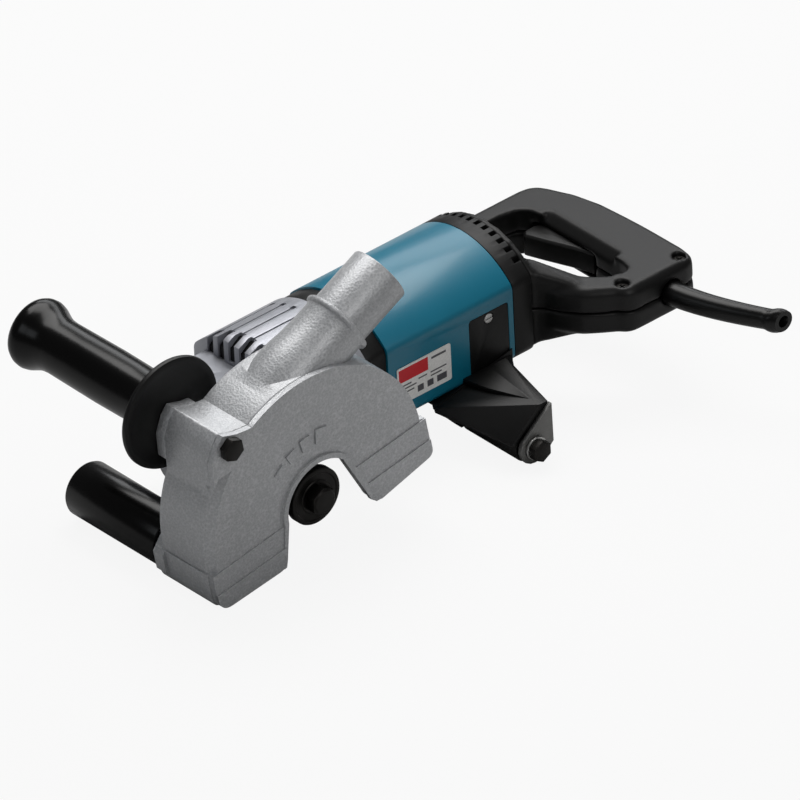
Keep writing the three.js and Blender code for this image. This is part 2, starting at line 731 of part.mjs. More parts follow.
const wholeHandle = cut(handle(), ...screwPlaces.map(screwHole));
const halfSpace = { side: 500, height: 100 };    // reaches past the whole handle
for (const [place, bottom, top] of [
  ['upper', -halfSpace.height, gap / 2],
  ['lower', -gap / 2, halfSpace.height],
]) {
  const otherHalf = block(0, halfSpace.side, -halfSpace.side, halfSpace.side, bottom, top);
  add(`handle_${place}_shell`, cut(wholeHandle, otherHalf), blackPlastic());
}

screwPlaces.forEach(([u, v], i) => {
  const at = [...plan(u, v), 0];
  const cross = [[2.4, 0.5], [0.5, 2.4]].map(([a, b]) =>
    block(at[0] - a, at[0] + a, at[1] - b, at[1] + b, handleScrew.seat + 1.6, handleHalf));
  add(`handle_screw_${i + 1}`, cut(join(
    bar('z', handleScrew.head, handleScrew.seat + gap, handleScrew.seat + 2.8, at, smallSides),
    bar('z', handleScrew.shank, handleScrew.bottom, handleScrew.seat + 1, at, smallSides)), ...cross),
  blackSteel());
});

function trigger() {
  const shape = outline([
    [84, 12], [85, 58], [72, 63.5], [64, 63], [61, 59], [66, 45], [73, 27], [75.5, 19], [77, 12],
  ].map(([u, v]) => plan(u, v)));
  return cut(prism('z', shape, -triggerHalf, triggerHalf, 1.5),
    bar('z', triggerPinRadius + gap, -12, 12, [...plan(pivot.u, pivot.v), 0], smallSides));
}

add('trigger', trigger(), blackPlastic());
add('trigger_pin', bar('z', triggerPinRadius, -11.7, 11.7, [...plan(pivot.u, pivot.v), 0], smallSides),
  brightSteel());

const [switchX0, switchY0] = plan(switchFront + 0.5, 6);
const [switchX1, switchY1] = plan(grip.outer - handleWall + 1, 52);
add('switch_block', block(switchX0, switchX1, switchY0, switchY1, -10, 10), blackPlastic());

add('lock_button', turned('z', [
  [0, -handleHalf - 3], [4, -handleHalf - 3], [5, -handleHalf - 2], [5, -12.7], [6.5, -12.7],
  [6.5, -10.5], [0, -10.5],
], [...lockButtonAt, 0], smallSides), blackPlastic());

// The cord guard: a tapered rubber sleeve that leans back as it leaves the handle.
function cordGuard() {
  const rings = 7;
  const side = (radiusAt, order) => Array.from({ length: rings + 1 }, (_, i) => {
    const t = (order > 0 ? i : rings - i) / rings;
    return new THREE.Vector2(radiusAt(t), -t * cordGuardLength);
  });
  const outer = (t) => (t > 0.88 ? cordGuardBead : cordGuardRadius - 1.2 * t);
  const points = [...side(outer, 1), ...side(() => cordBore, -1)];
  points.push(points[0].clone());
  const geometry = new THREE.LatheGeometry(points, smallSides);
  const place = geometry.attributes.position;
  for (let i = 0; i < place.count; i += 1) {
    const t = -place.getY(i) / cordGuardLength;
    place.setX(i, place.getX(i) + cordGuardSweep * t ** 1.5);
  }
  const [x, y] = plan(cordU, nearFace);
  const root = turned('y', [[cordBore, -0.5], [cordGuardRadius, -0.5], [cordGuardRadius, 14],
    [cordBore, 14], [cordBore, -0.5]], [x, y, 0], smallSides);
  return join(solid(geometry.translate(x, y, 0)), root);
}

add('cord_guard', cordGuard(), blackRubber());

// ---------------------------------------------------------------- rear support and roller

const support = { to: 207, cheek: 57.5, top: -22, apron: 2.6, plate: 3 };
const footLift = 0.6;                           // keeps the far foot from standing prouder than the roller
const rollerNear = support.plate + 1.2;
const rollerFar = rollerNear + rearRollerLength;
const apronGap = rearRollerRadius + 0.7;        // from the axle to the apron's inner face
const onRearAxle = [rearAxleX, 0, rearAxleZ];

// The apron hangs in front of the roller. It lies along a line tangent to a circle about the axle.
const apronLean = 50 * degrees;                 // from upright, leaning back at the top
const apronPoint = (reach, along) => [
  rearAxleX - reach * Math.cos(apronLean) + along * Math.sin(apronLean),
  rearAxleZ + reach * Math.sin(apronLean) + along * Math.cos(apronLean),
];

function rearSupport() {
  const outer = apronGap + support.apron;
  const nearEnd = gap + support.plate;
  const profiles = [
    [nearEnd, [apronPoint(apronGap, -8), apronPoint(outer, -8), apronPoint(outer, 23),
      [192.7, support.top], [192.7, support.top - 3]]],
    [support.cheek + 1, [[148, -36], [147, -32], [support.to, support.top], [support.to, support.top - 3]]],
  ];
  const apron = solid(new ConvexGeometry(profiles.flatMap(([y, points]) =>
    points.map(([x, z]) => new THREE.Vector3(x, y, z)))));
  const gusset = new THREE.Shape();
  gusset.moveTo(186, 14);
  gusset.lineTo(192.7, 14);
  gusset.quadraticCurveTo(194, 36, support.to + 5, support.cheek + 1);
  gusset.lineTo(172, support.cheek + 1);
  gusset.lineTo(176, 40);
  const web = prism('z', gusset, support.top - 3, support.top);
  const cheek = prism('y', outline([
    [150, -31], [support.to + 5, -18], [support.to + 5, -26], [189, -56], [168, -56], [151, -37],
  ]), support.cheek, sideNear + 5);
  const saddle = block(168, support.to, sideNear + 3, 146, -52, -22);
  const foot = block(rearAxleX - 8, rearAxleX + 12, 112, 144, rearAxleZ - rearRollerRadius + footLift, -50);
  const housing = prism('x', section(-gap), 140, support.to + 20);
  const nutRoom = bar('y', 9, sideNear + 5, 84, onRearAxle, smallSides);
  const rollerRoom = bar('y', apronGap, 0, support.cheek, onRearAxle);
  return cut(join(cut(apron, rollerRoom), web, cheek, saddle, foot), housing, nutRoom,
    bar('y', rearAxleRadius + gap, 0, 80, onRearAxle, smallSides));
}

add('rear_support', rearSupport(), blackPlastic());

function endPlate() {
  const shape = new THREE.Shape();
  shape.moveTo(193.2, support.top);
  shape.lineTo(193.6, -50);
  shape.lineTo(186.5, -56.5);
  shape.absarc(rearAxleX, rearAxleZ, 11.4, -45 * degrees, -220 * degrees, true);
  const axleHole = bar('y', rearAxleRadius + gap, -1, 5, onRearAxle, smallSides);
  return cut(prism('y', shape, 0, support.plate), axleHole);
}

add('rear_end_plate', endPlate(), brightSteel());

const washer = 1.6;
add('rear_washer', cut(bar('y', 8, -gap - washer, -gap, onRearAxle, smallSides),
  bar('y', rearAxleRadius + gap, -5, 5, onRearAxle, smallSides)), brightSteel());
const boltHead = -2 * gap - washer;
const nutFrom = sideNear + 5 + gap;
add('rear_axle_bolt', join(
  hexagon('y', 13, boltHead - 5.5, boltHead, onRearAxle),
  bar('y', rearAxleRadius, boltHead - 1, nutFrom + 9, onRearAxle, smallSides)), blackSteel());
add('rear_axle_nut', cut(hexagon('y', 13, nutFrom, nutFrom + 6.5, onRearAxle),
  bar('y', rearAxleRadius + gap, nutFrom - 1, nutFrom + 8, onRearAxle, smallSides)), brightSteel());

function roller(radius, bore, from, to, at) {
  return turned('y', [
    [bore, from], [radius - 1.5, from], [radius, from + 1.5], [radius, to - 1.5], [radius - 1.5, to],
    [bore, to], [bore, from],
  ], at);
}

add('rear_roller', roller(rearRollerRadius, rearAxleRadius + rollerPlay, rollerNear, rollerFar, onRearAxle),
  blackRubber());

// ---------------------------------------------------------------- guard

const steps = { front: [-5, -20], rear: [0.3, -16.3] };   // heights of the raised bands on the feet
const guardFoot = { bottom: -33.8, corner: 9, rearEdge: 91.5 };
const chamferWidth = 5;
const skirtProud = 1.2;                         // the front foot's skirt stands out by this much
const bossReach = 6.7;                          // the grip's boss, past the guard's far face
const shoulderPoints = [[-35.3, 80.1], [-47.7, 83.3], [-57.7, 88.3], [-63.8, 83], [-70, 72.6]];

function guardOutline() {
  const shape = new THREE.Shape();
  const foreEdge = -hoodRadius;
  shape.moveTo(foreEdge, 0);
  shape.lineTo(foreEdge, guardFoot.bottom + guardFoot.corner + 1);
  shape.quadraticCurveTo(foreEdge + 0.5, guardFoot.bottom + 1,
    foreEdge + guardFoot.corner, guardFoot.bottom + 0.5);
  shape.lineTo(-39, guardFoot.bottom - 0.6);
  shape.quadraticCurveTo(-32.5, guardFoot.bottom - 0.8, -31.2, -29);
  shape.lineTo(archX - archRadius, archZ);
  shape.absarc(archX, archZ, archRadius, Math.PI, 39.6 * degrees, true);
  shape.lineTo(36.5, -21);
  shape.quadraticCurveTo(39, -31.5, 47, -33.6);
  shape.lineTo(86.5, -28.8);
  shape.quadraticCurveTo(guardFoot.rearEdge, -28, guardFoot.rearEdge, -23);
  shape.lineTo(guardFoot.rearEdge, steps.rear[0]);
  shape.lineTo(hoodRadius, steps.rear[0] + 1);
  const shoulderStart = Math.atan2(shoulderPoints[0][1], shoulderPoints[0][0]);
  shape.absarc(0, 0, hoodRadius, 1 * degrees, shoulderStart, false);
  shoulderPoints.slice(1).forEach((point) => shape.lineTo(...point));
  shape.absarc(0, 0, hoodRadius, 146 * degrees, Math.PI, false);
  return shape;
}

const coverThickness = guardWall;
const castingStart = coverThickness + gap;
const onGripBolt = [gripBoltX, 0, gripBoltZ];
const boltHole = bar('y', gripBoltRadius + gap, -5, 80, onGripBolt, smallSides);

// Raised bands on the feet, the lip of the opening and the mark that shows which way the discs turn.
function guardCover() {
  const shape = guardOutline();
  const bands = [[-0.8, 0], [-1.6, 1]].map(([face, level]) => prism('y', shape, face, 1, 0, 4).intersect(
    join(
      block(-120, -20, face - 1, 2, -60, steps.front[level]),
      block(20, 120, face - 1, 2, -60, steps.rear[level]))));
  const lip = prism('y', ringSector(archX, archZ, archRadius, archRadius + lipWidth, 40, 180), -1, 1, 0, 8);
  const marks = [
    [37.5, 44, 116.5, 127.5], [37.8, 45.5, 100.5, 110.5], [38, 47, 84.5, 94.5], [38, 48.5, 67.5, 78.5],
  ].map(([inner, outer, from, to]) => prism('y', ringSector(0, 0, inner, outer, from, to), -0.7, 1, 0, 3));
  const plate = prism('y', shape, 0, coverThickness, 1, 4);
  return cut(join(plate, ...bands, lip, ...marks), frontChamfer(), boltHole);
}

add('guard_cover', guardCover(), hammered(), guardGroup);

// A body turned about the nozzle's own axis; its profile holds [radius, distance from the mouth] pairs.
function aboutNozzle(profile) {
  const points = profile.map(([radius, station]) => new THREE.Vector2(radius, -station));
  return solid(new THREE.LatheGeometry(points, roundSides)
    .rotateZ(-Math.PI / 2).rotateY(-nozzleTilt * degrees).translate(nozzleX, nozzleY, nozzleZ));
}

const nozzleBody = () => aboutNozzle([
  [0, 0], [nozzleRadius, 0], [nozzleRadius, nozzleSleeve], [nozzleBead, nozzleSleeve + 0.5],
  [nozzleBead, nozzleSleeve + 3], [nozzleRootRadius - 0.8, nozzleSleeve + 4], [nozzleRootRadius, 100],
  [nozzleRootRadius, nozzleReach], [0, nozzleReach],
]);
const nozzleHole = () => aboutNozzle([[0, -1], [nozzleBore, -1], [nozzleBore, 118], [0, 118]]);

// The wedge that flattens the hood's front edge between the shoulder and the skirt.
function frontChamfer() {
  const [inner, outer] = [hoodRadius - chamferWidth - 1, hoodRadius + 3];
  return turned('y', [[inner, -1], [outer, -1], [outer, chamferWidth + 3], [inner, -1]], undefined, 48)
    .intersect(block(-95, -50, -5, 20, steps.front[0], 60));
}

function guardCasting() {
  const farFace = guardWidth;
  const inner = farFace - guardWall;
  const shape = guardOutline();
  const skirtEdge = -hoodRadius - skirtProud;
  const skirt = prism('y', outline([
    [skirtEdge, steps.front[0]], [skirtEdge, guardFoot.bottom + guardFoot.corner], [skirtEdge + 2, -30],
    [skirtEdge + 9, guardFoot.bottom + 0.5], [-77, -14], [-86, steps.front[0]],
  ]), castingStart, farFace + 6);
  const body = join(
    prism('y', shape, castingStart, farFace, 1, 4),
    bar('y', neckRadius + gap + 6, inner, farFace + clampWidth, undefined, largeSides),
    block(-9, 9, inner + 5, farFace + clampWidth - 1, -neckRadius - 18, -neckRadius - 2),
    prism('y', outline([[-41, 81.5], ...shoulderPoints.slice(1), [-71.8, 56], [-52, 58], [-40, 68]]),
      farFace - 2, farFace + bossReach),
    skirt,
    prism('y', outline([[-91, -8], [-91, -22], [-84, -29], [-52, -29], [-52, 0], [-83, 0]]),
      farFace - 3, farFace + 6),
    bar('y', 11, farFace - 2, farFace + 9.5, [frontAxleX, 0, frontAxleZ]));
  const discSpace = join(
    bar('y', hoodRadius - guardWall, castingStart - 1, inner, undefined, largeSides),
    block(-hoodRadius + guardWall, hoodRadius, castingStart - 1, inner, -80, -2));
  const outside = cut(join(cut(body, frontChamfer()), nozzleBody()), discSpace);
  return cut(
    outside,
    nozzleHole(),
    prism('y', shape, -5, castingStart, 0, 4),
    bar('y', neckRadius + gap, inner - 20, farFace + clampWidth + 1, undefined, largeSides),
    block(24, hoodRadius - 1, inner - 1, farFace + 1, -80, -20),
    block(-1.2, 1.2, inner - 1, farFace + clampWidth + 1, -neckRadius - 20, -neckRadius + 4),
    bar('x', 2.5 + gap, -20, 20, [0, farFace + 4, -neckRadius - 12], smallSides),
    bar('y', frontAxleRadius + gap, inner + 1, farFace + 12, [frontAxleX, 0, frontAxleZ], smallSides),
    boltHole);
}

add('guard_casting', guardCasting(), hammered(), guardGroup);

const clampAt = [0, guardWidth + 4, -neckRadius - 12];
add('guard_clamp_screw', join(
  bar('x', 2.5, -12, 11, clampAt, smallSides),
  bar('x', 4.2, 9 + gap, 13, clampAt, smallSides)), brightSteel(), guardGroup);

const headOfBolt = -gap - 5.5;
add('grip_bolt', join(
  hexagon('y', gripBoltAcross, headOfBolt, -gap, onGripBolt),
  bar('y', gripBoltRadius, headOfBolt + 2, guardWidth + 46, onGripBolt, smallSides)), blackSteel(), guardGroup);

const handGuardFrom = guardWidth + 7;
const gripFrom = handGuardFrom + handGuardThickness + gap;
add('hand_guard', turned('y', [
  [gripBoltRadius + gap, handGuardFrom], [handGuardRadius - 1.5, handGuardFrom],
  [handGuardRadius, handGuardFrom + 1.5], [handGuardRadius, handGuardFrom + handGuardThickness - 0.5],
  [handGuardRadius - 0.5, handGuardFrom + handGuardThickness],
  [gripBoltRadius + gap, handGuardFrom + handGuardThickness], [gripBoltRadius + gap, handGuardFrom],
], onGripBolt, largeSides), blackPlastic(), guardGroup);

function sideGrip() {
  const end = gripFrom + gripLength;
  const bottom = guardWidth + 48;
  return turned('y', [
    [gripBoltRadius + gap, gripFrom], [gripRadius + 2.5, gripFrom], [gripRadius + 2.5, gripFrom + 3],
    [gripRadius, gripFrom + 6], [gripRadius + 0.6, gripFrom + 50], [gripRadius, end - 28],
    [gripRadius + 2, end - 19], [gripKnobRadius - 0.6, end - 12], [gripKnobRadius, end - 8],
    [gripKnobRadius - 1.2, end - 4], [gripKnobRadius - 6, end - 0.8], [gripKnobRadius - 12, end],
    [0, end], [0, bottom], [gripBoltRadius + gap, bottom], [gripBoltRadius + gap, gripFrom],
  ], onGripBolt, roundSides);
}

add('side_grip', sideGrip(), blackRubber(), guardGroup);

const frontRollerFrom = guardWidth + 10.5;
const frontRollerTo = frontRollerFrom + frontRollerLength;
const onFrontAxle = [frontAxleX, 0, frontAxleZ];
add('front_axle', join(
  bar('y', frontAxleRadius, guardWidth - guardWall + 1 + gap, frontRollerTo + 2, onFrontAxle, smallSides),
  hexagon('y', 15, frontRollerTo + 0.6, frontRollerTo + 4.5, onFrontAxle)), brightSteel(), guardGroup);
add('front_roller', roller(frontRollerRadius, frontAxleRadius + rollerPlay, frontRollerFrom, frontRollerTo,
  onFrontAxle), blackRubber(), guardGroup);

// ---------------------------------------------------------------- standing on the rollers

// The floor touches both rollers, so it is tangent to two circles of different size.
const tilt = guardTilt * degrees;
const frontX = frontAxleX * Math.cos(tilt) - frontAxleZ * Math.sin(tilt);
const frontZ = frontAxleX * Math.sin(tilt) + frontAxleZ * Math.cos(tilt);
const between = Math.hypot(rearAxleX - frontX, rearAxleZ - frontZ);
const standPitch = Math.atan2(frontZ - rearAxleZ, rearAxleX - frontX)
  - Math.asin((frontRollerRadius - rearRollerRadius) / between);
tool.rotation.y = -standPitch;

const machine = new THREE.Group();
machine.add(tool);
machine.updateMatrixWorld(true);
const box = new THREE.Box3().setFromObject(machine, true);
tool.position.set(-(box.min.x + box.max.x) / 2, -(box.min.y + box.max.y) / 2, -box.min.z);

export default machine;
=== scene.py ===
import json
import math
import bpy
from mathutils import Matrix, Vector

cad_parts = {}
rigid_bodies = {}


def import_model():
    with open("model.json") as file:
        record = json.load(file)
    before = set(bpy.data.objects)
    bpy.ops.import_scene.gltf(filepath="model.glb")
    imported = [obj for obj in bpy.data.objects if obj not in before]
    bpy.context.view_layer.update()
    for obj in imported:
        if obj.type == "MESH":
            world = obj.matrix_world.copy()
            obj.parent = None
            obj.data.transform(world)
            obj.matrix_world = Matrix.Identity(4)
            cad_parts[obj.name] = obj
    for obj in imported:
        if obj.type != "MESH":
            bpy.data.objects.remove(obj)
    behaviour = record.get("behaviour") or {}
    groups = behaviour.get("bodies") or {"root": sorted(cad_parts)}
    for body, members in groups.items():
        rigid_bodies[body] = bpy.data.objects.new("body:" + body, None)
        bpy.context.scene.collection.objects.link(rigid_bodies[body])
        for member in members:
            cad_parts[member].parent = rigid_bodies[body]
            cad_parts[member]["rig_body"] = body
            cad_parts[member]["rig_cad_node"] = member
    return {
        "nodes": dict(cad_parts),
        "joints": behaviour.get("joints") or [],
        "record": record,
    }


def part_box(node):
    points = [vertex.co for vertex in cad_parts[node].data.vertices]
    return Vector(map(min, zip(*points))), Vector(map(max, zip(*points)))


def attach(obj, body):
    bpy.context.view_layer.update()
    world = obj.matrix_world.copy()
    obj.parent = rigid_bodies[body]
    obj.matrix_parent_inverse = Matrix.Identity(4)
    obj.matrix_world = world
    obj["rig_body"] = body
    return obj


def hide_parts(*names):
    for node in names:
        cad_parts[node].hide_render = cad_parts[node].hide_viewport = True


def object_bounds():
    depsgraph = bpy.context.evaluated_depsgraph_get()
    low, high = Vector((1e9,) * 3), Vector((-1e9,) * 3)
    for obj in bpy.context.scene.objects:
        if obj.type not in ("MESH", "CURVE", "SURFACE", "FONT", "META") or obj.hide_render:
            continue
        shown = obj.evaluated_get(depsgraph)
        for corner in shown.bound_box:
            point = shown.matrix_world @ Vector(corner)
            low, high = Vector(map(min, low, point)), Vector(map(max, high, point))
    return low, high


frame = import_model()
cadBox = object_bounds()
nodes = frame["nodes"]
joints = {joint["name"]: joint for joint in frame["joints"]}
print("frame loaded:", len(nodes), "nodes")

# The machine is modelled in millimetres in its own frame: X along the rotor, Y along the spindle, Z up,
# zero on the spindle at the guard's near face. These matrices put it where the frame stands.
rotorLine = Vector(joints["rotor_spin"]["axis"])
spindleAt = Vector(joints["spindle_spin"]["pos_m"])
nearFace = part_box("rear_end_plate")[0].y
guardTilt = 9.5


def turnAboutY(degrees):
    return Matrix.Rotation(math.radians(-degrees), 4, "Y")


standing = turnAboutY(math.degrees(math.atan2(rotorLine.z, rotorLine.x)))
toolFrame = Matrix.Translation((spindleAt.x, nearFace, spindleAt.z)) @ standing @ Matrix.Scale(0.001, 4)
guardFrame = toolFrame @ turnAboutY(guardTilt)

# Camera, lights and floor.

view = {
    "azimuth": -39.97, "elevation": 33.62, "roll": -2.74,   # degrees, in the machine's own frame
    "right": 51.84, "up": 59.02,                            # the point looked at, mm from the spindle
    "distance": 20, "width": 0.4908,                     # metres; a long lens, so little foreshortening
}


def makeCamera():
    azimuth, elevation, roll = (math.radians(view[k]) for k in ("azimuth", "elevation", "roll"))
    back = Vector((math.sin(azimuth) * math.cos(elevation), -math.cos(azimuth) * math.cos(elevation),
                   math.sin(elevation)))
    right = Vector((math.cos(azimuth), math.sin(azimuth), 0))
    up = back.cross(right)
    turnedRight = right * math.cos(roll) + up * math.sin(roll)
    turnedUp = up * math.cos(roll) - right * math.sin(roll)
    lookedAt = toolFrame @ (turnedRight * view["right"] + turnedUp * view["up"])
    axes = standing.to_3x3() @ Matrix((turnedRight, turnedUp, back)).transposed()
    bpy.ops.object.camera_add()
    camera = bpy.context.object
    camera.name = "viewCamera"
    camera.matrix_world = Matrix.Translation(lookedAt + axes.col[2] * view["distance"]) @ axes.to_4x4()
    camera.data.sensor_width = 36
    camera.data.lens = 36 * view["distance"] / view["width"]
    camera.data.clip_end = 100
    bpy.context.scene.camera = camera


lights = [
    # name, azimuth, elevation, distance, width, height, power, colour
    ("topPanel", 150, 66, 1.6, 1.5, 1.1, 27, (1.0, 0.99, 0.98)),
    ("backPanel", 125, 30, 1.9, 1.7, 0.6, 9, (0.97, 0.985, 1.0)),
    ("frontFill", -8, 38, 2.3, 0.9, 0.8, 10, (1.0, 0.99, 0.98)),
    ("sideFill", -95, 30, 2.3, 0.8, 0.8, 2.5, (0.9, 0.95, 1.0)),
]


def makeLights():
    centre = Vector((0, 0, 0.08))
    for name, azimuth, elevation, distance, width, height, power, colour in lights:
        a, e = math.radians(azimuth), math.radians(elevation)
        back = Vector((math.sin(a) * math.cos(e), -math.cos(a) * math.cos(e), math.sin(e)))
        bpy.ops.object.light_add(type="AREA", location=centre + back * distance)
        light = bpy.context.object
        light.name = name
        light.rotation_euler = (-back).to_track_quat("-Z", "Y").to_euler()
        light.data.shape = "RECTANGLE"
        light.data.size, light.data.size_y = width, height
        light.data.energy = power
        light.data.color = colour
    world = bpy.data.worlds.new("studio")
    world.use_nodes = True
    world.node_tree.nodes["Background"].inputs["Color"].default_value = (1, 1, 1, 1)
    world.node_tree.nodes["Background"].inputs["Strength"].default_value = 0.1
    bpy.context.scene.world = world
    bpy.context.scene.view_settings.view_transform = "Standard"


# Modelling helpers.

def deselectAll():
    if bpy.context.object and bpy.context.object.mode != "OBJECT":
        bpy.ops.object.mode_set(mode="OBJECT")
    bpy.ops.object.select_all(action="DESELECT")


def activate(piece):
    deselectAll()
    piece.select_set(True)
    bpy.context.view_layer.objects.active = piece


# A new piece that is one selected point, in edit mode.
def startPoint(name, point):
    deselectAll()
    bpy.ops.mesh.primitive_plane_add(size=1, location=(0, 0, 0))
    piece = bpy.context.object
    piece.name = piece.data.name = name
    bpy.ops.object.mode_set(mode="EDIT")
    bpy.ops.mesh.select_mode(type="VERT")
    bpy.ops.mesh.select_all(action="SELECT")
    bpy.ops.mesh.merge(type="CENTER")
    bpy.ops.transform.translate(value=point)
    return piece


# Extrudes the selected point along the rest of a line.
def drawOn(start, points):
    last = Vector(start)
    for point in points:
        step = Vector(point) - last
        bpy.ops.mesh.extrude_region_move(TRANSFORM_OT_translate={"value": step})
        last = Vector(point)


def closeUp(threshold=0.001):
    bpy.ops.mesh.select_all(action="SELECT")
    bpy.ops.mesh.remove_doubles(threshold=threshold)
    bpy.ops.mesh.normals_make_consistent(inside=False)
    bpy.ops.object.mode_set(mode="OBJECT")


lay = {
    "x": lambda a, b, depth: (depth, a, b),
    "y": lambda a, b, depth: (a, depth, b),
    "z": lambda a, b, depth: (a, b, depth),
}


# A closed outline, filled and extruded along the axis that it lies across.
def slab(name, outline, across, low, high):
    points = [Vector(lay[across](a, b, low)) for a, b in outline]
    piece = startPoint(name, points[0])
    drawOn(points[0], points[1:])
    bpy.ops.mesh.select_all(action="SELECT")
    bpy.ops.mesh.edge_face_add()
    bpy.ops.mesh.select_all(action="SELECT")
    bpy.ops.mesh.extrude_region_move(
        TRANSFORM_OT_translate={"value": Vector(lay[across](0, 0, high - low))})
    closeUp()
    return piece


# A profile of (radius, station) pairs, spun about an axis through a point.
def spun(name, profile, axis="y", at=(0, 0, 0), steps=96):
    centre = Vector(at)
    way = {"x": Vector((1, 0, 0)), "y": Vector((0, 1, 0)), "z": Vector((0, 0, 1))}[axis]
    arm = Vector((0, 0, 1)) if axis != "z" else Vector((1, 0, 0))
    points = [centre + arm * radius + way * station for radius, station in profile]
    piece = startPoint(name, points[0])
    drawOn(points[0], points[1:])
    bpy.ops.mesh.select_all(action="SELECT")
    bpy.ops.mesh.spin(steps=steps, angle=2 * math.pi, center=centre, axis=way)
    closeUp()
    return piece


# A block between pairs of limits, made as a slab.
def brick(name, x, y, z):
    return slab(name, [(x[0], z[0]), (x[1], z[0]), (x[1], z[1]), (x[0], z[1])], "y", y[0], y[1])


def combine(piece, other, how="DIFFERENCE"):
    modifier = piece.modifiers.new("combine", "BOOLEAN")
    modifier.object = other
    modifier.operation = how
    modifier.solver = "EXACT"
    activate(piece)
    bpy.ops.object.modifier_apply(modifier="combine")
    bpy.data.objects.remove(other)
    return piece


def cleanFlats(piece, threshold=0.001, angle=0.4):
    activate(piece)
    bpy.ops.object.mode_set(mode="EDIT")
    bpy.ops.mesh.select_all(action="SELECT")
    bpy.ops.mesh.remove_doubles(threshold=threshold)
    bpy.ops.mesh.dissolve_limited(angle_limit=math.radians(angle))
    bpy.ops.object.mode_set(mode="OBJECT")


def roundEdges(piece, width, segments=3, angle=32):
    modifier = piece.modifiers.new("rounding", "BEVEL")
    modifier.width = width
    modifier.segments = segments
    modifier.limit_method = "ANGLE"
    modifier.angle_limit = math.radians(angle)
    modifier.use_clamp_overlap = True
    activate(piece)
    bpy.ops.object.modifier_apply(modifier="rounding")


def shadeSmooth(piece, angle=34):
    activate(piece)
    bpy.ops.object.shade_smooth_by_angle(angle=math.radians(angle))


# Puts a piece in place, gives it its finish and lets it ride on its body.
def finishPiece(piece, place, body, material, slotName, *replaced):
    if place is not None:
        piece.data.transform(place)
    shadeSmooth(piece)
    piece.data.materials.clear()
    piece.data.materials.append(material)
    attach(piece, body)
    if replaced:
        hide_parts(*replaced)
    return piece


# A merged copy of a CAD node with its edges rounded, in metres and in place.
def softened(nodeName, pieceName, width, segments=2, angle=30):
    source = nodes[nodeName]
    piece = source.copy()
    piece.data = source.data.copy()
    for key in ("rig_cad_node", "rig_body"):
        del piece[key]
    piece.parent = None
    piece.name = piece.data.name = pieceName
    bpy.context.scene.collection.objects.link(piece)
    cleanFlats(piece, 0.000004, 1.0)
    roundEdges(piece, width, segments, angle)
    return piece


# Points of an arc about (a, b) between two angles in degrees.
def arc(a, b, radius, start, end, steps):
    angles = [math.radians(start + (end - start) * i / steps) for i in range(steps + 1)]
    return [(a + radius * math.cos(angle), b + radius * math.sin(angle)) for angle in angles]


# Points of a quadratic curve after its start.
def bow(start, control, end, steps=8):
    points = []
    for i in range(1, steps + 1):
        t = i / steps
        points.append(tuple((1 - t) ** 2 * s + 2 * t * (1 - t) * c + t * t * e
                            for s, c, e in zip(start, control, end)))
    return points


# Finishes.

def newMaterial(name, colour, roughness, metallic=0.0, coat=0.0, specular=0.5):
    material = bpy.data.materials.new(name)
    material.use_nodes = True
    shader = material.node_tree.nodes["Principled BSDF"]
    shader.inputs["Base Color"].default_value = (*colour, 1)
    shader.inputs["Roughness"].default_value = roughness
    shader.inputs["Metallic"].default_value = metallic
    shader.inputs["Coat Weight"].default_value = coat
    shader.inputs["Coat Roughness"].default_value = 0.15
    shader.inputs["Specular IOR Level"].default_value = specular
    return material


# A texture node on Object coordinates; its pattern repeats about `scale` times a metre.
def texture(material, kind, scale, detail=3.0, stretch=(1, 1, 1)):
    tree = material.node_tree
    where = tree.nodes.new("ShaderNodeTexCoord")
    mapping = tree.nodes.new("ShaderNodeMapping")
    mapping.inputs["Scale"].default_value = stretch
    made = tree.nodes.new({"noise": "ShaderNodeTexNoise", "cells": "ShaderNodeTexVoronoi"}[kind])
    made.inputs["Scale"].default_value = scale
    if kind == "noise":
        made.inputs["Detail"].default_value = detail
    tree.links.new(where.outputs["Object"], mapping.inputs["Vector"])
    tree.links.new(mapping.outputs["Vector"], made.inputs["Vector"])
    return made.outputs["Fac"] if kind == "noise" else made.outputs["Distance"]


# A colour ramp of (position, colour) stops on a 0 to 1 value.
def ramp(material, source, stops):
    node = material.node_tree.nodes.new("ShaderNodeValToRGB")
    elements = node.color_ramp.elements
    elements[0].position, elements[0].color = stops[0][0], (*stops[0][1], 1)
    elements[1].position, elements[1].color = stops[-1][0], (*stops[-1][1], 1)
    for position, colour in stops[1:-1]:
        elements.new(position).color = (*colour, 1)
    material.node_tree.links.new(source, node.inputs["Fac"])
    return node.outputs["Color"]


def blendColours(material, how, share, first, second):
    tree = material.node_tree
    node = tree.nodes.new("ShaderNodeMix")
    node.data_type = "RGBA"
    node.blend_type = how
    node.inputs["Factor"].default_value = share
    tree.links.new(first, node.inputs["A"])
    tree.links.new(second, node.inputs["B"])
    return node.outputs["Result"]


def setInput(material, name, source):
    material.node_tree.links.new(source, material.node_tree.nodes["Principled BSDF"].inputs[name])


# Bump layers of (height source, strength, depth in metres), one on top of the other.
def bumps(material, *layers):
    tree = material.node_tree
    last = None
    for height, strength, depth in layers:
        node = tree.nodes.new("ShaderNodeBump")
        node.inputs["Strength"].default_value = strength
        node.inputs["Distance"].default_value = depth
        tree.links.new(height, node.inputs["Height"])
        if last is not None:
            tree.links.new(last, node.inputs["Normal"])
        last = node.outputs["Normal"]
    setInput(material, "Normal", last)


def grey(value):
    return (value, value, value)


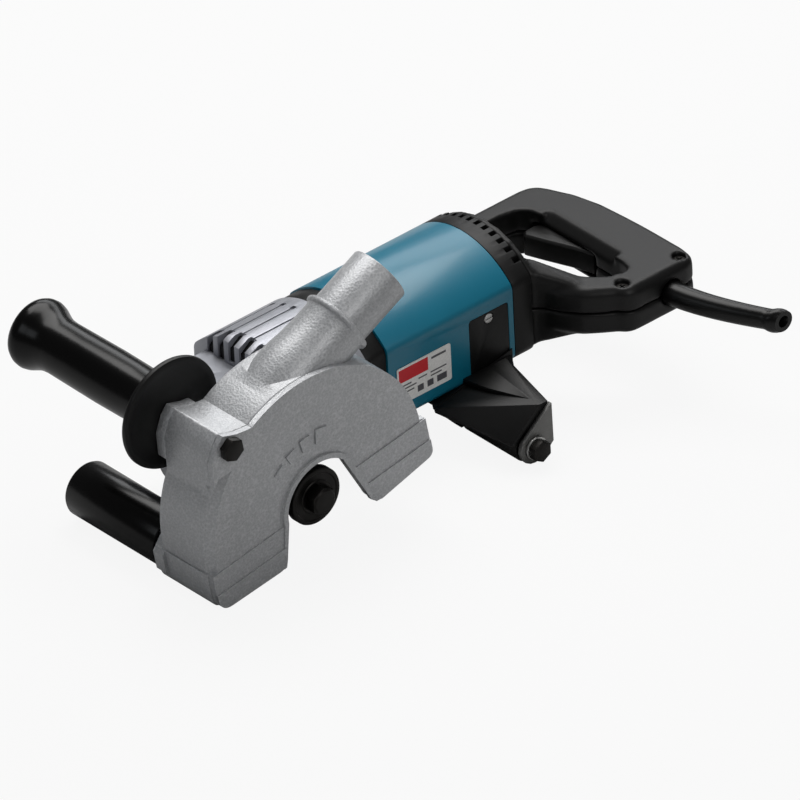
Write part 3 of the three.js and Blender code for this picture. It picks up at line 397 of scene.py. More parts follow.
def hammeredPaint():
    material = newMaterial("hammeredPaint", (0.3, 0.31, 0.32), 0.42, 0.3, 0.2)
    cells = texture(material, "cells", 620)
    fine = texture(material, "noise", 2300, 2)
    cloud = texture(material, "noise", 30, 2)
    dimples = ramp(material, cells, [(0.0, (0.37, 0.38, 0.395)), (0.5, (0.44, 0.45, 0.465)),
                                     (0.95, (0.54, 0.55, 0.565))])
    speckle = ramp(material, fine, [(0.3, grey(0.82)), (0.55, grey(1.0)), (0.75, grey(1.16))])
    shade = ramp(material, cloud, [(0.3, grey(0.93)), (0.7, grey(1.05))])
    setInput(material, "Base Color", blendColours(
        material, "MULTIPLY", 0.6, blendColours(material, "MULTIPLY", 0.8, dimples, speckle), shade))
    setInput(material, "Roughness", ramp(material, cells, [(0.1, grey(0.36)), (0.8, grey(0.5))]))
    bumps(material, (cells, 0.4, 0.0004), (fine, 0.3, 0.00015))
    return material


def castMetal():
    material = newMaterial("castMetal", (0.4, 0.41, 0.44), 0.42, 0.6)
    grain = texture(material, "noise", 1500, 4)
    cloud = texture(material, "noise", 34, 3)
    setInput(material, "Base Color", ramp(
        material, cloud, [(0.3, (0.31, 0.32, 0.35)), (0.7, (0.4, 0.41, 0.445))]))
    setInput(material, "Roughness", ramp(material, grain, [(0.3, grey(0.36)), (0.7, grey(0.54))]))
    bumps(material, (grain, 0.35, 0.0003))
    return material


def mouldedTeal():
    material = newMaterial("mouldedTeal", (0.0, 0.15, 0.24), 0.34, 0.0, 0.2)
    grain = texture(material, "noise", 2600, 3)
    cloud = texture(material, "noise", 18, 2)
    setInput(material, "Base Color", ramp(
        material, cloud, [(0.25, (0.001, 0.135, 0.215)), (0.75, (0.002, 0.16, 0.25))]))
    setInput(material, "Roughness", ramp(material, grain, [(0.3, grey(0.3)), (0.7, grey(0.42))]))
    bumps(material, (grain, 0.12, 0.0001))
    return material


def mouldedBlack(name, shade, roughness, grainScale, grain=0.16, depth=0.0001, specular=0.3):
    material = newMaterial(name, grey(shade), roughness, 0.0, 0.0, specular)
    fine = texture(material, "noise", grainScale, 3)
    cloud = texture(material, "noise", 24, 2)
    setInput(material, "Base Color", ramp(
        material, cloud, [(0.3, grey(shade * 0.8)), (0.7, grey(shade * 1.3))]))
    setInput(material, "Roughness", ramp(
        material, fine, [(0.3, grey(roughness - grain / 3)), (0.7, grey(roughness + grain / 2))]))
    bumps(material, (fine, grain, depth))
    return material


# Fine turning or grinding lines that run round or along one axis.
def machinedSteel(name, colour, roughness, axis):
    material = newMaterial(name, colour, roughness, 0.95)
    stretch = {"x": (1, 0.04, 0.04), "y": (0.04, 1, 0.04), "z": (0.04, 0.04, 1)}[axis]
    lines = texture(material, "noise", 3200, 3, stretch)
    cloud = texture(material, "noise", 60, 3)
    setInput(material, "Base Color", ramp(material, cloud, [
        (0.3, tuple(c * 0.82 for c in colour)), (0.7, tuple(min(c * 1.12, 1) for c in colour))]))
    setInput(material, "Roughness", ramp(
        material, lines, [(0.3, grey(roughness - 0.08)), (0.7, grey(roughness + 0.12))]))
    bumps(material, (lines, 0.25, 0.0001))
    return material


# Thin steel sheets stacked along the rotor.
def stackedSheets():
    material = machinedSteel("stackedSheets", grey(0.33), 0.42, "x")
    sheets = texture(material, "noise", 1800, 0, (1, 0.01, 0.01))
    bumps(material, (sheets, 0.8, 0.0003))
    return material


def woundCopper():
    material = newMaterial("woundCopper", (0.62, 0.27, 0.12), 0.34, 0.9, 0.3)
    strands = texture(material, "noise", 1500, 1, (0.05, 1, 1))
    setInput(material, "Base Color", ramp(
        material, strands, [(0.35, (0.35, 0.13, 0.05)), (0.6, (0.68, 0.3, 0.14))]))
    bumps(material, (strands, 0.7, 0.0004))
    return material


def printedFoil():
    material = newMaterial("printedFoil", (0.82, 0.81, 0.79), 0.35, 0.0, 0.3)
    grain = texture(material, "noise", 900, 4)
    setInput(material, "Base Color", ramp(
        material, grain, [(0.35, (0.76, 0.755, 0.74)), (0.65, (0.86, 0.855, 0.84))]))
    bumps(material, (grain, 0.1, 0.00005))
    return material


def inkMaterial(name, colour):
    material = newMaterial(name, colour, 0.4, 0.0, 0.2)
    grain = texture(material, "noise", 2200, 3)
    setInput(material, "Base Color", ramp(material, grain, [
        (0.3, tuple(c * 0.85 for c in colour)), (0.7, tuple(min(1, c * 1.1) for c in colour))]))
    return material


hammered = hammeredPaint()
casting = castMetal()
teal = mouldedTeal()
black = mouldedBlack("mouldedBlack", 0.0022, 0.44, 2400, 0.12, 0.0001, 0.3)
blackGloss = mouldedBlack("gripRubber", 0.0012, 0.22, 900, 0.03, 0.00002, 0.24)
rubber = mouldedBlack("rollerRubber", 0.0015, 0.34, 1400, 0.06, 0.00004, 0.2)
cordRubber = mouldedBlack("cordRubber", 0.0015, 0.3, 1700, 0.06, 0.00004, 0.3)
blackSteel = machinedSteel("blackSteel", (0.022, 0.021, 0.02), 0.4, "y")
brightSteel = machinedSteel("brightSteel", (0.5, 0.5, 0.49), 0.32, "y")
dullZinc = machinedSteel("dullZinc", (0.2, 0.2, 0.195), 0.48, "z")
sheets = stackedSheets()
copper = woundCopper()
carbon = mouldedBlack("carbon", 0.03, 0.6, 3000, 0.3, 0.0002)
foil = printedFoil()
print("finishes made")

# Guard.

guard = {
    "hood": 87.5, "width": 46, "wall": 4, "gap": 0.3,
    "archX": 3.3, "archZ": -4.1, "arch": 27.8, "lip": 3.5,
    "footBottom": -33.8, "footRear": 91.5,
    "bandsFront": (-5, -20), "bandsRear": (0.3, -16.3),
    "bolt": (-54.9, 77.9), "axle": (-70.5, -16.5),
    "neck": 30, "clamp": 10,
}
shoulder = [(-47.7, 83.3), (-57.7, 88.3), (-63.8, 83), (-70, 72.6)]


def guardOutline():
    g, bottom, rear = guard, guard["footBottom"], guard["footRear"]
    front = -g["hood"]
    outline = [(front, 0), (front, bottom + 10)]
    outline += bow((front, bottom + 10), (front + 0.5, bottom + 1), (front + 9, bottom + 0.5))
    outline += [(-39, bottom - 0.6)]
    outline += bow((-39, bottom - 0.6), (-32.5, bottom - 0.8), (-31.2, -29))
    outline += arc(g["archX"], g["archZ"], g["arch"], 180, 39.6, 40)
    outline += [(36.5, -21)]
    outline += bow((36.5, -21), (39, -31.5), (47, -33.6))
    outline += [(86.5, -28.8)]
    outline += bow((86.5, -28.8), (rear, -28), (rear, -23))
    outline += [(rear, g["bandsRear"][0]), (g["hood"], g["bandsRear"][0] + 1)]
    outline += arc(0, 0, g["hood"], 1, 113.8, 64)[1:]
    outline += shoulder
    outline += arc(0, 0, g["hood"], 146, 179, 20)
    return outline


def ringSector(inner, outer, start, end, steps=12, centre=(0, 0)):
    return arc(*centre, outer, start, end, steps) + arc(*centre, inner, end, start, steps)


# A raised border that follows the opening and runs down both of its sides.
def lipOutline():
    g, wide = guard, guard["lip"]
    x, z, r, bottom = g["archX"], g["archZ"], g["arch"], g["footBottom"]
    return ([(-31.5 - wide, bottom - 0.5), (x - r - wide, z)] + arc(x, z, r + wide, 179, 36, 48)
            + [(36.9 + wide, -20.4), (44, -30.5), (47, -33.2), (42.5, -32.6), (38.7, -28.6), (36.5, -21)]
            + arc(x, z, r, 39.6, 180, 48) + [(-31.2, -29), (-33, bottom - 0.2)])


# The wedge that flattens the hood's near front edge, between the shoulder and the skirt.
def frontChamfer():
    g, wide = guard, 5.2
    wedge = spun("frontChamfer", [(g["hood"] - wide - 1, -1), (g["hood"] + 3, -1), (g["hood"] + 3, wide + 3),
                                  (g["hood"] - wide - 1, -1)], "y", (0, 0, 0), 160)
    return combine(wedge, brick("chamferRoom", (-95, -50), (-5, 20), (-4.6, 60)), "INTERSECT")


guardMarks = [                                              # inner and outer radius, from and to, degrees
    (37.5, 44, 116.5, 127.5), (37.8, 45.5, 100.5, 110.5), (38, 47, 84.5, 94.5), (38, 48.5, 67.5, 78.5),
]


def makeGuardCover():
    g = guard
    cover = slab("guardCover", guardOutline(), "y", 0, g["wall"])
    for level, (front, rear) in enumerate(zip(g["bandsFront"], g["bandsRear"])):
        face = -0.9 * (level + 1)
        for side, top in ((-1, front), (1, rear)):
            band = slab("band", guardOutline(), "y", face, 1)
            span = (-120, -20) if side < 0 else (20, 120)
            combine(band, brick("bandRoom", span, (face - 1, 2), (-60, top)), "INTERSECT")
            combine(cover, band, "UNION")
    combine(cover, slab("lip", lipOutline(), "y", -1.9, 1), "UNION")
    for inner, outer, start, end in guardMarks:
        combine(cover, slab("mark", ringSector(inner, outer, start, end, 4), "y", -1.2, 1), "UNION")
    combine(cover, frontChamfer())
    boltLine = (g["bolt"][0], 0, g["bolt"][1])
    combine(cover, spun("boltHole", [(0, -5), (4.4, -5), (4.4, 20), (0, 20)], "y", boltLine, 32))
    cleanFlats(cover)
    roundEdges(cover, 0.9, 3, 40)
    return finishPiece(cover, guardFrame, "guard", hammered, "hammered_casting", "guard_cover")


nozzle = {"mouth": (98.8, 24.5, 100.3), "tilt": 17.85, "radius": 20, "bore": 17.5, "sleeve": 40, "root": 21.2,
          "bead": 23.4, "reach": 116}


# Spun along X from the mouth, then leaned back and moved to its place on the hood.
def nozzleSolid(name, profile):
    piece = spun(name, profile, "x", (0, 0, 0), 72)
    lean = Matrix.Translation(nozzle["mouth"]) @ turnAboutY(nozzle["tilt"])
    piece.data.transform(lean)
    return piece


def makeGuardCasting():
    g, n = guard, nozzle
    start, inner, far = g["wall"] + 0.08, g["width"] - g["wall"], g["width"]
    outline = guardOutline()
    body = slab("guardCasting", outline, "y", start, far)
    roundEdges(body, 1.6, 3, 60)
    radius, bead, root, sleeve = n["radius"], n["bead"], n["root"], n["sleeve"]
    outer = nozzleSolid("nozzleOuter", [
        (0, 0), (radius - 1.2, 0), (radius - 0.35, -0.35), (radius, -1.2),
        (radius, 1 - sleeve), (radius + 0.6, 0.4 - sleeve),
        (bead - 0.9, 0.2 - sleeve), (bead - 0.2, -0.4 - sleeve), (bead, -1.4 - sleeve),
        (bead - 0.2, -2.4 - sleeve), (bead - 0.9, -3.1 - sleeve),
        (root + 0.4, -3.7 - sleeve), (root, -5 - sleeve), (root + 0.2, -60),
        (root + 0.8, -70), (root + 1.9, -79), (root + 2.4, -87), (root + 2.1, -95),
        (root + 1.2, -103), (root + 0.2, -111), (root - 0.4, -n["reach"]),
        (0, -n["reach"])])
    combine(body, outer, "UNION")
    combine(body, frontChamfer())
    skirt = slab("skirt", [(-g["hood"] - 1.2, -5), (-g["hood"] - 1.2, g["footBottom"] + 10)]
                 + bow((-g["hood"] - 1.2, g["footBottom"] + 10), (-g["hood"] - 0.7, g["footBottom"] + 0.6),
                       (-g["hood"] + 8, g["footBottom"] + 0.3))
                 + [(-g["hood"] + 10, -14), (-g["hood"] + 2, -5)], "y", start, far + 6)
    roundEdges(skirt, 0.5, 2, 40)
    combine(body, skirt, "UNION")
    shoulderBoss = slab("shoulderBoss", [(-41, 81.5)] + shoulder + [(-71.8, 56), (-52, 58), (-40, 68)], "y",
                        far - 2, far + 6.7)
    roundEdges(shoulderBoss, 0.8, 2, 40)
    combine(body, shoulderBoss, "UNION")
    for name, radius, low, high, at in (
            ("collar", g["neck"] + 6.3, inner, far + g["clamp"], (0, 0)),
            ("axleBoss", 11, far - 2, far + 9.5, g["axle"])):
        boss = spun(name, [(0, low), (radius, low), (radius, high - 1), (radius - 1, high), (0, high)], "y",
                    (at[0], 0, at[1]), 64)
        combine(body, boss, "UNION")
    padOutline = [(-91, -8), (-91, -22), (-84, -29), (-52, -29), (-52, 0), (-83, 0)]
    combine(body, slab("axlePad", padOutline, "y", far - 3, far + 6), "UNION")
    earHeight = (-g["neck"] - 18, -g["neck"] - 2)
    combine(body, brick("clampEar", (-9, 9), (inner + 5, far + g["clamp"] - 1), earHeight), "UNION")
    room = g["hood"] - g["wall"]
    combine(body, spun("discRoom", [(0, start - 1), (room, start - 1), (room, inner), (0, inner)],
                       "y", (0, 0, 0), 120))
    combine(body, brick("underRoom", (g["wall"] - g["hood"], g["hood"]), (start - 1, inner), (-80, -2)))
    combine(body, nozzleSolid("nozzleBore", [
        (0, 3), (n["bore"] + 1.2, 3), (n["bore"] + 1.2, 0.2), (n["bore"], -1.4), (n["bore"], -n["reach"] + 2),
        (0, -n["reach"] + 2)]))
    neck = g["neck"] + g["gap"]
    cutters = [
        spun("neckHole", [(0, inner - 20), (neck, inner - 20), (neck, far + 12), (0, far + 12)],
             "y", (0, 0, 0), 72),
        brick("rearFoot", (24, g["hood"] - 1), (inner - 1, far + 1), (-80, -20)),
        brick("clampSlot", (-1.2, 1.2), (inner - 1, far + g["clamp"] + 1), (-g["neck"] - 20, -g["neck"] + 4)),
        spun("clampHole", [(0, -20), (2.8, -20), (2.8, 20), (0, 20)], "x", (0, far + 4, -g["neck"] - 12), 24),
        spun("axleHole", [(0, inner + 1), (5.3, inner + 1), (5.3, far + 12), (0, far + 12)], "y",
             (g["axle"][0], 0, g["axle"][1]), 32),
        spun("boltHole", [(0, -5), (4.3, -5), (4.3, 80), (0, 80)], "y", (g["bolt"][0], 0, g["bolt"][1]), 32),
        slab("nearTrim", outlineGrown(), "y", -5, start),
    ]
    for cutter in cutters:
        combine(body, cutter)
    cleanFlats(body)
    return finishPiece(body, guardFrame, "guard", hammered, "hammered_casting", "guard_casting")


# The room in front of the casting, so that the nozzle doesn't reach the cover.
def outlineGrown():
    return [(-130, -80), (160, -80), (160, 80), (-130, 130)]


makeGuardCover()
makeGuardCasting()
print("guard made")

# Grips and rollers.

sideGrip = {"hub": 4.3, "radius": 17.8, "knob": 23.4, "from": 57.3, "length": 127.5, "plate": 37.7}


def makeSideGrip():
    s = sideGrip
    start, end = s["from"], s["from"] + s["length"]
    at = (guard["bolt"][0], 0, guard["bolt"][1])
    profile = [
        (s["hub"], start), (s["radius"] + 1.8, start), (s["radius"] + 2.5, start + 0.8),
        (s["radius"] + 2.5, start + 2.6), (s["radius"] + 1.6, start + 4), (s["radius"] + 0.3, start + 5.5),
        (s["radius"], start + 7.5), (s["radius"] + 0.35, start + 30), (s["radius"] + 0.6, start + 52),
        (s["radius"] + 0.3, start + 76), (s["radius"], end - 30), (s["radius"] + 0.5, end - 24),
        (s["radius"] + 1.7, end - 19.5), (s["radius"] + 3.4, end - 15.5), (s["knob"] - 0.7, end - 12),
        (s["knob"], end - 9), (s["knob"] - 0.3, end - 6), (s["knob"] - 1.4, end - 3.6),
        (s["knob"] - 3.4, end - 1.9), (s["knob"] - 6.5, end - 0.7), (s["knob"] - 12, end), (0, end),
        (0, 94), (s["hub"], 94), (s["hub"], start)]
    grip = spun("sideGrip", profile, "y", at, 96)
    finishPiece(grip, guardFrame, "guard", blackGloss, "black_rubber", "side_grip")
    near, rim = 53, s["plate"]
    plate = spun("handPlate", [
        (s["hub"], near), (17, near), (18, near + 0.5), (rim - 6, near + 0.5), (rim - 4.5, near),
        (rim - 1.2, near), (rim - 0.3, near + 0.5), (rim, near + 1.5),
        (rim, near + 2.8), (rim - 0.4, near + 3.6), (rim - 1.4, near + 4),
        (s["hub"], near + 4), (s["hub"], near)], "y", at, 120)
    finishPiece(plate, guardFrame, "guard", black, "black_plastic", "hand_guard")


def rollerProfile(radius, bore, start, end):
    return [(bore, start), (radius - 2.2, start), (radius - 0.8, start + 0.5), (radius, start + 2),
            (radius, end - 2), (radius - 0.8, end - 0.5), (radius - 2.2, end), (radius - 3.2, end),
            (radius - 4, end - 0.7), (bore + 1.5, end - 0.7), (bore, end), (bore, start)]


def makeRollers():
    front = spun("frontRoller", rollerProfile(18.4, 5.5, 56.5, 139.5), "y",
                 (guard["axle"][0], 0, guard["axle"][1]), 96)
    finishPiece(front, guardFrame, "front_roller", blackGloss, "black_rubber", "front_roller")
    rear = spun("rearRoller", rollerProfile(12, 4.5, 4.2, 56.2), "y", (178, 0, -48), 72)
    finishPiece(rear, toolFrame, "rear_roller", rubber, "black_rubber", "rear_roller")


makeSideGrip()
makeRollers()
print("grips and rollers made")

# Gear housing, outer flange, motor housing and vent ring.

motor = {"y": 104.8, "width": 92, "height": 92, "crown": 62, "corner": 8, "wall": 4,
         "start": 112.3, "end": 215.2, "ringEnd": 230.7}


# Flat sides, arched top and bottom and round corners, in the plane across the rotor.
def section(inset=0.0):
    corner = max(motor["corner"] - inset, 1)
    crown = motor["crown"] - inset
    rise = motor["height"] / 2 - motor["crown"]
    a = motor["width"] / 2 - inset - corner
    b = rise + math.sqrt((crown - corner) ** 2 - a ** 2)
    lean = math.degrees(math.atan2(b - rise, a))
    y = motor["y"]
    return (arc(y + a, b, corner, 0, lean, 8) + arc(y, rise, crown, lean, 180 - lean, 40)[1:-1]
            + arc(y - a, b, corner, 180 - lean, 180, 8) + arc(y - a, -b, corner, 180, 180 + lean, 8)
            + arc(y, -rise, crown, 180 + lean, 360 - lean, 40)[1:-1]
            + arc(y + a, -b, corner, 360 - lean, 360, 8))


def roundedRectangle(a, b, width, height, radius):
    w, h = width / 2 - radius, height / 2 - radius
    return (arc(a + w, b + h, radius, 0, 90, 6) + arc(a - w, b + h, radius, 90, 180, 6)
            + arc(a - w, b - h, radius, 180, 270, 6) + arc(a + w, b - h, radius, 270, 360, 6))


brush = {"x": 195, "z": -3.5, "length": 32, "height": 40, "deep": 2.9, "corner": 2}


def makeMotorHousing():
    m, b = motor, brush
    body = slab("motorHousing", section(), "x", m["start"], m["end"])
    for side in (-1, 1):
        outer = m["y"] + side * m["width"] / 2
        low, high = sorted((outer + side, outer - side * b["deep"]))
        recess = slab("recess", roundedRectangle(b["x"], b["z"], b["length"] + 0.6, b["height"] + 0.6, 2.3),
                      "y", low, high)
        combine(body, recess)
        hole = [outer + side * 1, outer - side * 8]
        combine(body, brick("holderHole", (b["x"] - 5.7, b["x"] + 5.7), sorted(hole), (-6.7, 6.7)))
    cleanFlats(body)
    roundEdges(body, 0.8, 3, 40)
    combine(body, slab("inside", section(m["wall"]), "x", m["start"] - 1, m["end"] + 1))
    return finishPiece(body, toolFrame, "machine", teal, "housing_plastic", "motor_housing")


def makeVentRing():
    m = motor
    start, end = m["end"] + 0.6, m["ringEnd"]
    ring = slab("ventRing", section(), "x", start, end)
    combine(ring, slab("inside", section(m["wall"]), "x", start - 1, end + 1))
    for i in range(11):
        y = m["y"] + (i - 5) * 7
        toothOutline = [(y - 1.7, 0), (y + 1.7, 0), (y + 1.7, 60), (y - 1.7, 60)]
        combine(ring, slab("toothGap", toothOutline, "x", end - 5, end + 1))
    cleanFlats(ring)
    roundEdges(ring, 0.5, 2, 40)
    return finishPiece(ring, toolFrame, "machine", black, "black_plastic", "vent_ring")


block = {"start": 34, "end": 95.7, "bevelLong": 8.8, "bevelDrop": 3.8, "slots": 7, "pitch": 10, "slot": 5.6,
         "slotEnd": 44.5, "slotDeep": 17, "groove": 1.3, "pocket": 3.4, "pocketAt": 87}


# Height of the arched top above the rotor line.
def crestAt(y):
    return motor["height"] / 2 - motor["crown"] + math.sqrt(motor["crown"] ** 2 - (y - motor["y"]) ** 2)


def makeGearHousing():
    b, m = block, motor
    body = slab("gearHousing", section(), "x", b["start"], b["end"])
    top = m["height"] / 2
    bevelEnd = b["start"] + b["bevelLong"]
    wedge = slab("frontWedge", [(b["start"] - 1, top - b["bevelDrop"] - 1), (bevelEnd, top + 0.2),
                                (bevelEnd, top + 9), (b["start"] - 1, top + 9)],
                 "y", m["y"] - 60, m["y"] + 60)
    combine(body, wedge)
    slotShadeFills = None
    for i in range(b["slots"]):
        y = m["y"] + (i - (b["slots"] - 1) / 2) * b["pitch"]
        crest = crestAt(y)
        half = b["slot"] / 2
        slot = slab("slot", roundedRectangle(b["slotEnd"] - 8, crest, 16, 2 * b["slotDeep"], 1.4), "y",
                    y - half, y + half)
        combine(body, slot)
        grooveSide, pocketSide = b["groove"] / 2, b["pocket"] / 2
        groove = brick("groove", (b["slotEnd"] - 1, b["pocketAt"]), (y - grooveSide, y + grooveSide),
                       (crest - 1.6, crest + 6))
        combine(body, groove)
        pocket = brick("pocket", (b["pocketAt"] - b["pocket"], b["pocketAt"]),
                       (y - pocketSide, y + pocketSide), (crest - 2.4, crest + 6))
        combine(body, pocket)
        # Painted shade: a black block sits low in each slot so that the slot reads dark, standing in for the
        # shadow inside it.
        floor = crest - b["slotDeep"] - 1
        shadeFillOutline = [(b["start"] + 1.6, floor), (b["slotEnd"] + 1, floor), (b["slotEnd"] + 1, crest - 3),
                  (bevelEnd, crest - 3), (b["start"] + 1.6, crest - 3 - b["bevelDrop"] - 1.5)]
        slotShadeFill = slab("paintedSlotShade", shadeFillOutline, "y", y - half - 0.2, y + half + 0.2)
        slotShadeFills = slotShadeFill if slotShadeFills is None else combine(slotShadeFills, slotShadeFill, "UNION")
    cleanFlats(body)
    roundEdges(body, 0.8, 2, 50)
    head = spun("gearHead", [
        (0, 62.3), (37.4, 62.3), (38, 63), (38, 104.5), (37.4, 105.6), (36, 106), (28.6, 106), (28, 106.6),
        (28, 140), (27, 141.5), (25, 142), (0, 142)], "y", (0, 0, 0), 96)
    rootEnd = b["start"] + 8
    neckBlock = slab("neckBlock", [(0, -36), (rootEnd, -36), (rootEnd, 30), (0, 30)], "y", 62.3, 105.7)
    roundEdges(neckBlock, 3, 3, 60)
    farBlock = slab("farBlock", [(0, -24), (rootEnd, -24), (rootEnd, 26), (0, 26)], "y", 104, 142)
    roundEdges(farBlock, 3, 3, 60)
    for other in (neckBlock, farBlock, head):
        combine(body, other, "UNION")
    lock = (0, 0, 18)
    combine(body, spun("lockHole", [(0, 135), (6, 135), (6, 145), (0, 145)], "y", lock, 36))
    cleanFlats(body)
    finishPiece(body, toolFrame, "machine", casting, "bare_casting", "gear_housing")
    # The black blocks in the slots are painted shade.
    finishPiece(slotShadeFills, toolFrame, "machine", black, "black_plastic")


flange = {"radius": 19.4, "face": -1, "back": 5, "bore": 4.3, "rim": 1, "dish": 0.5}


def makeFlange():
    f = flange
    piece = spun("outerFlangePiece", [
        (f["bore"], f["face"]), (11, f["face"]), (11.6, f["face"] + f["dish"]),
        (f["radius"] - 3.4, f["face"] + f["dish"]), (f["radius"] - 2.8, f["face"]),
        (f["radius"] - f["rim"], f["face"]), (f["radius"] - 0.3, f["face"] + 0.35),
        (f["radius"], f["face"] + f["rim"]), (f["radius"], f["back"]), (f["bore"], f["back"]),
        (f["bore"], f["face"])])
    finishPiece(piece, toolFrame, "spindle", blackSteel, "black_steel", "outer_flange")


makeGearHousing()
makeFlange()
makeMotorHousing()
makeVentRing()
print("motor housing made")

# Softened copies of the plainer CAD nodes: node, piece, edge in mm, body, finish, slot.

plainer = [
    ("bearing_box", "bearingBox", 0.4, "machine", casting, "bare_casting"),
    ("baffle_ring", "baffleRing", 0.5, "machine", black, "black_plastic"),
    ("rear_support", "rearSupport", 0.9, "machine", black, "black_plastic"),
    ("rear_end_plate", "rearEndPlate", 0.35, "machine", dullZinc, "bright_steel"),
    ("rear_washer", "rearWasher", 0.25, "machine", brightSteel, "bright_steel"),
    ("rear_axle_bolt", "rearAxleBolt", 0.5, "machine", blackSteel, "black_steel"),
    ("rear_axle_nut", "rearAxleNut", 0.4, "machine", brightSteel, "bright_steel"),
    ("spindle_bolt", "spindleBolt", 0.5, "spindle", blackSteel, "black_steel"),
    ("grip_bolt", "gripBolt", 0.5, "guard", blackSteel, "black_steel"),
    ("guard_clamp_screw", "clampScrew", 0.3, "guard", brightSteel, "bright_steel"),
    ("front_axle", "frontAxle", 0.4, "guard", brightSteel, "bright_steel"),
    ("brush_cover_near", "brushCoverNear", 0.5, "machine", black, "black_plastic"),
    ("brush_cover_far", "brushCoverFar", 0.5, "machine", black, "black_plastic"),
    ("brush_cover_screw_near", "coverScrewNear", 0.25, "machine", brightSteel, "bright_steel"),
    ("brush_cover_screw_far", "coverScrewFar", 0.25, "machine", brightSteel, "bright_steel"),
    ("trigger", "trigger", 1.2, "trigger", black, "black_plastic"),
    ("lock_button", "lockButton", 0.6, "lock_button", black, "black_plastic"),
    ("shaft_lock", "shaftLock", 0.5, "shaft_lock", black, "black_plastic"),
]


def makePlainer():
    for nodeName, pieceName, width, body, material, slotName in plainer:
        piece = softened(nodeName, pieceName + "Piece", width / 1000)
        finishPiece(piece, None, body, material, slotName, nodeName)


makePlainer()
print("plainer pieces softened")

# Spade handle.

handle = {"voxel": 0.0011, "rounds": 20}


# Each shell is a copy of its CAD node, melted and settled so that all its edges are round.
def makeHandle():
    for title, node in (("handleUpper", "handle_upper_shell"), ("handleLower", "handle_lower_shell")):
        part = softened(node, title, 0.00001, 1, 80)
        remesh = part.modifiers.new("melt", "REMESH")
        remesh.mode = "VOXEL"
        remesh.voxel_size = handle["voxel"]
        smooth = part.modifiers.new("settle", "SMOOTH")
        smooth.factor = 0.5
        smooth.iterations = handle["rounds"]
        activate(part)
        bpy.ops.object.modifier_apply(modifier="melt")
        bpy.ops.object.modifier_apply(modifier="settle")
        finishPiece(part, None, "machine", black, "black_plastic", node)


makeHandle()
print("handle made")

# Cord guard.

cordGuard = {"at": (306.5, 13.8, 0), "length": 73, "sweep": 27, "radius": 8, "tip": 6.8, "ring": 8.2,
             "bore": 4}


# A ring of points drawn out along the sleeve, swelling to a bead at its end, and back along the bore.
def makeCordGuard():
    c = cordGuard
    rows = 40
    stations = [(-14 / c["length"], c["radius"]), (0, c["radius"])]
    for i in range(1, rows + 1):
        t = i / rows
        radius = c["radius"] + (c["tip"] - c["radius"]) * t
        bead = max(0.0, 1 - abs(t - 0.95) / 0.06)
        stations.append((t, radius + (c["ring"] - c["tip"]) * math.sin(bead * math.pi / 2)))
    stations += [(t, c["bore"]) for t, radius in reversed(stations)]
    deselectAll()
    bpy.ops.mesh.primitive_circle_add(vertices=48, radius=1, rotation=(math.pi / 2, 0, 0))
    sleeve = bpy.context.object
    sleeve.name = sleeve.data.name = "cordSleeve"
    bpy.ops.object.transform_apply(location=False, rotation=True, scale=False)

    def centre(t):
        return Vector((c["at"][0] + c["sweep"] * max(t, 0) ** 1.5, c["at"][1] - c["length"] * t, c["at"][2]))

    bpy.ops.object.mode_set(mode="EDIT")
    bpy.ops.mesh.select_all(action="SELECT")
    at, radius = stations[0]
    bpy.ops.transform.resize(value=(radius, radius, radius))
    bpy.ops.transform.translate(value=centre(at))
    for t, wide in stations[1:]:
        grown = wide / radius
        bpy.ops.mesh.extrude_region_move(TRANSFORM_OT_translate={"value": centre(t) - centre(at)})
        bpy.ops.transform.resize(value=(grown, grown, grown), center_override=centre(t))
        at, radius = t, wide
    bpy.ops.object.mode_set(mode="OBJECT")
    activate(sleeve)
    bpy.ops.object.mode_set(mode="EDIT")
    bpy.ops.mesh.select_mode(type="EDGE")
    bpy.ops.mesh.select_all(action="DESELECT")
    bpy.ops.mesh.select_non_manifold()
    bpy.ops.mesh.bridge_edge_loops()
    bpy.ops.mesh.select_mode(type="VERT")
    closeUp()
    return finishPiece(sleeve, toolFrame, "machine", cordRubber, "black_rubber", "cord_guard")


makeCordGuard()
print("cord guard made")

# Rating plate with blocks of plain print.

label = {"x": 140.5, "z": -3.8, "length": 44, "height": 26.5}


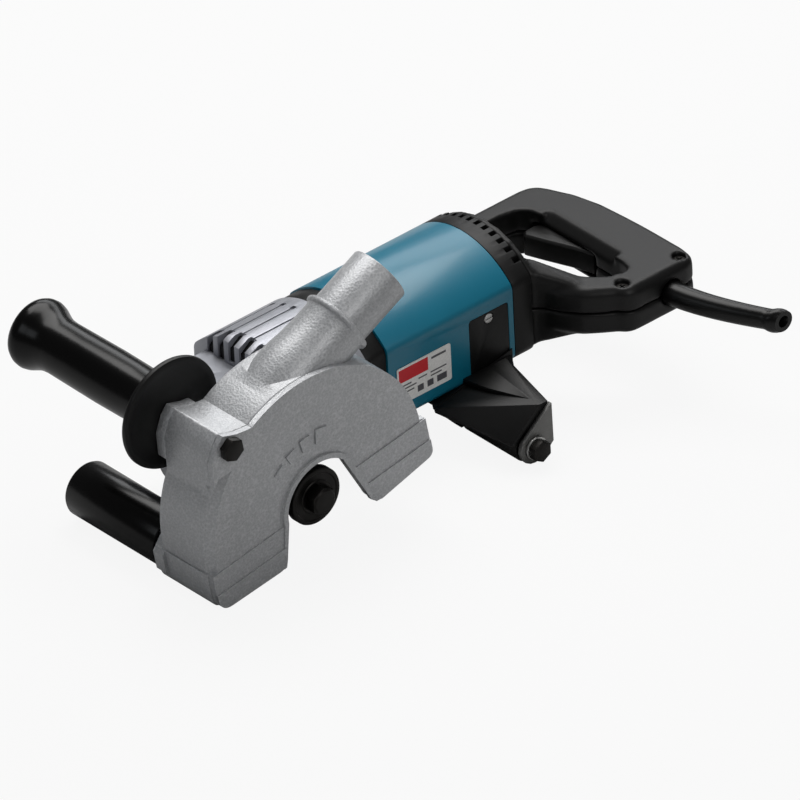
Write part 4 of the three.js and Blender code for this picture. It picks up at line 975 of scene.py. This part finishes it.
def makeLabel():
    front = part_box("rating_plate")[0].y * 1000 - nearFace * 1000
    red = inkMaterial("redInk", (0.62, 0.02, 0.03))
    dark = inkMaterial("darkInk", (0.09, 0.09, 0.1))
    left, top = label["x"] - label["length"] / 2, label["z"] + label["height"] / 2
    inks = [("redBand", red, [(1.2, 1.4, 24, 9.5)]),
            ("darkPrint", dark, [(28, 3, 12, 1.6), (2.2, 13.2, 9, 1), (2.2, 15.6, 13, 1), (17, 13.2, 7, 1),
                                 (27, 13.2, 13, 1), (27, 15.8, 9, 1), (2.2, 18.4, 11, 1), (16, 18.6, 5, 4.6),
                                 (24, 18.6, 5, 4.6), (32, 18.6, 8, 4.6)])]
    for name, material, marks in inks:
        whole = None
        for x, down, width, tall in marks:
            mark = brick(name, (left + x, left + x + width), (front - 0.03, front + 0.02),
                         (top - down - tall, top - down))
            whole = mark if whole is None else combine(whole, mark, "UNION")
        finishPiece(whole, toolFrame, "machine", material, "label")


makeLabel()
print("label made")

# Finishes of the CAD nodes that stay.

finishOfSlot = {
    "hammered_casting": hammered, "bare_casting": casting, "housing_plastic": teal, "black_plastic": black,
    "black_rubber": rubber, "black_steel": blackSteel, "bright_steel": brightSteel, "laminated_steel": sheets,
    "copper": copper, "carbon": carbon, "label": foil,
}
for part in frame["record"]["subparts"]:
    node = nodes[part["node"]]
    node.data.materials.clear()
    node.data.materials.append(finishOfSlot[part["material_slot"]])


def makeFloor():
    deselectAll()
    ground = (0, 0, cadBox[0].z - 0.0005)
    bpy.ops.mesh.primitive_circle_add(vertices=96, radius=4, fill_type="NGON", location=ground)
    floor = bpy.context.object
    floor.name = floor.data.name = "studioFloor"
    paper = newMaterial("studioPaper", (0.5, 0.5, 0.5), 0.95)
    tree = paper.node_tree
    glow = tree.nodes.new("ShaderNodeEmission")
    mix = tree.nodes.new("ShaderNodeMixShader")
    ray = tree.nodes.new("ShaderNodeLightPath")
    share = tree.nodes.new("ShaderNodeMath")
    share.operation = "MULTIPLY"
    share.inputs[1].default_value = 0.9         # how much of what the camera sees is the paper's own glow
    tree.links.new(ray.outputs["Is Camera Ray"], share.inputs[0])
    tree.links.new(share.outputs["Value"], mix.inputs["Fac"])
    tree.links.new(tree.nodes["Principled BSDF"].outputs["BSDF"], mix.inputs[1])
    tree.links.new(glow.outputs["Emission"], mix.inputs[2])
    tree.links.new(mix.outputs["Shader"], tree.nodes["Material Output"].inputs["Surface"])
    floor.data.materials.append(paper)


makeFloor()
makeCamera()
makeLights()
print("stage set")
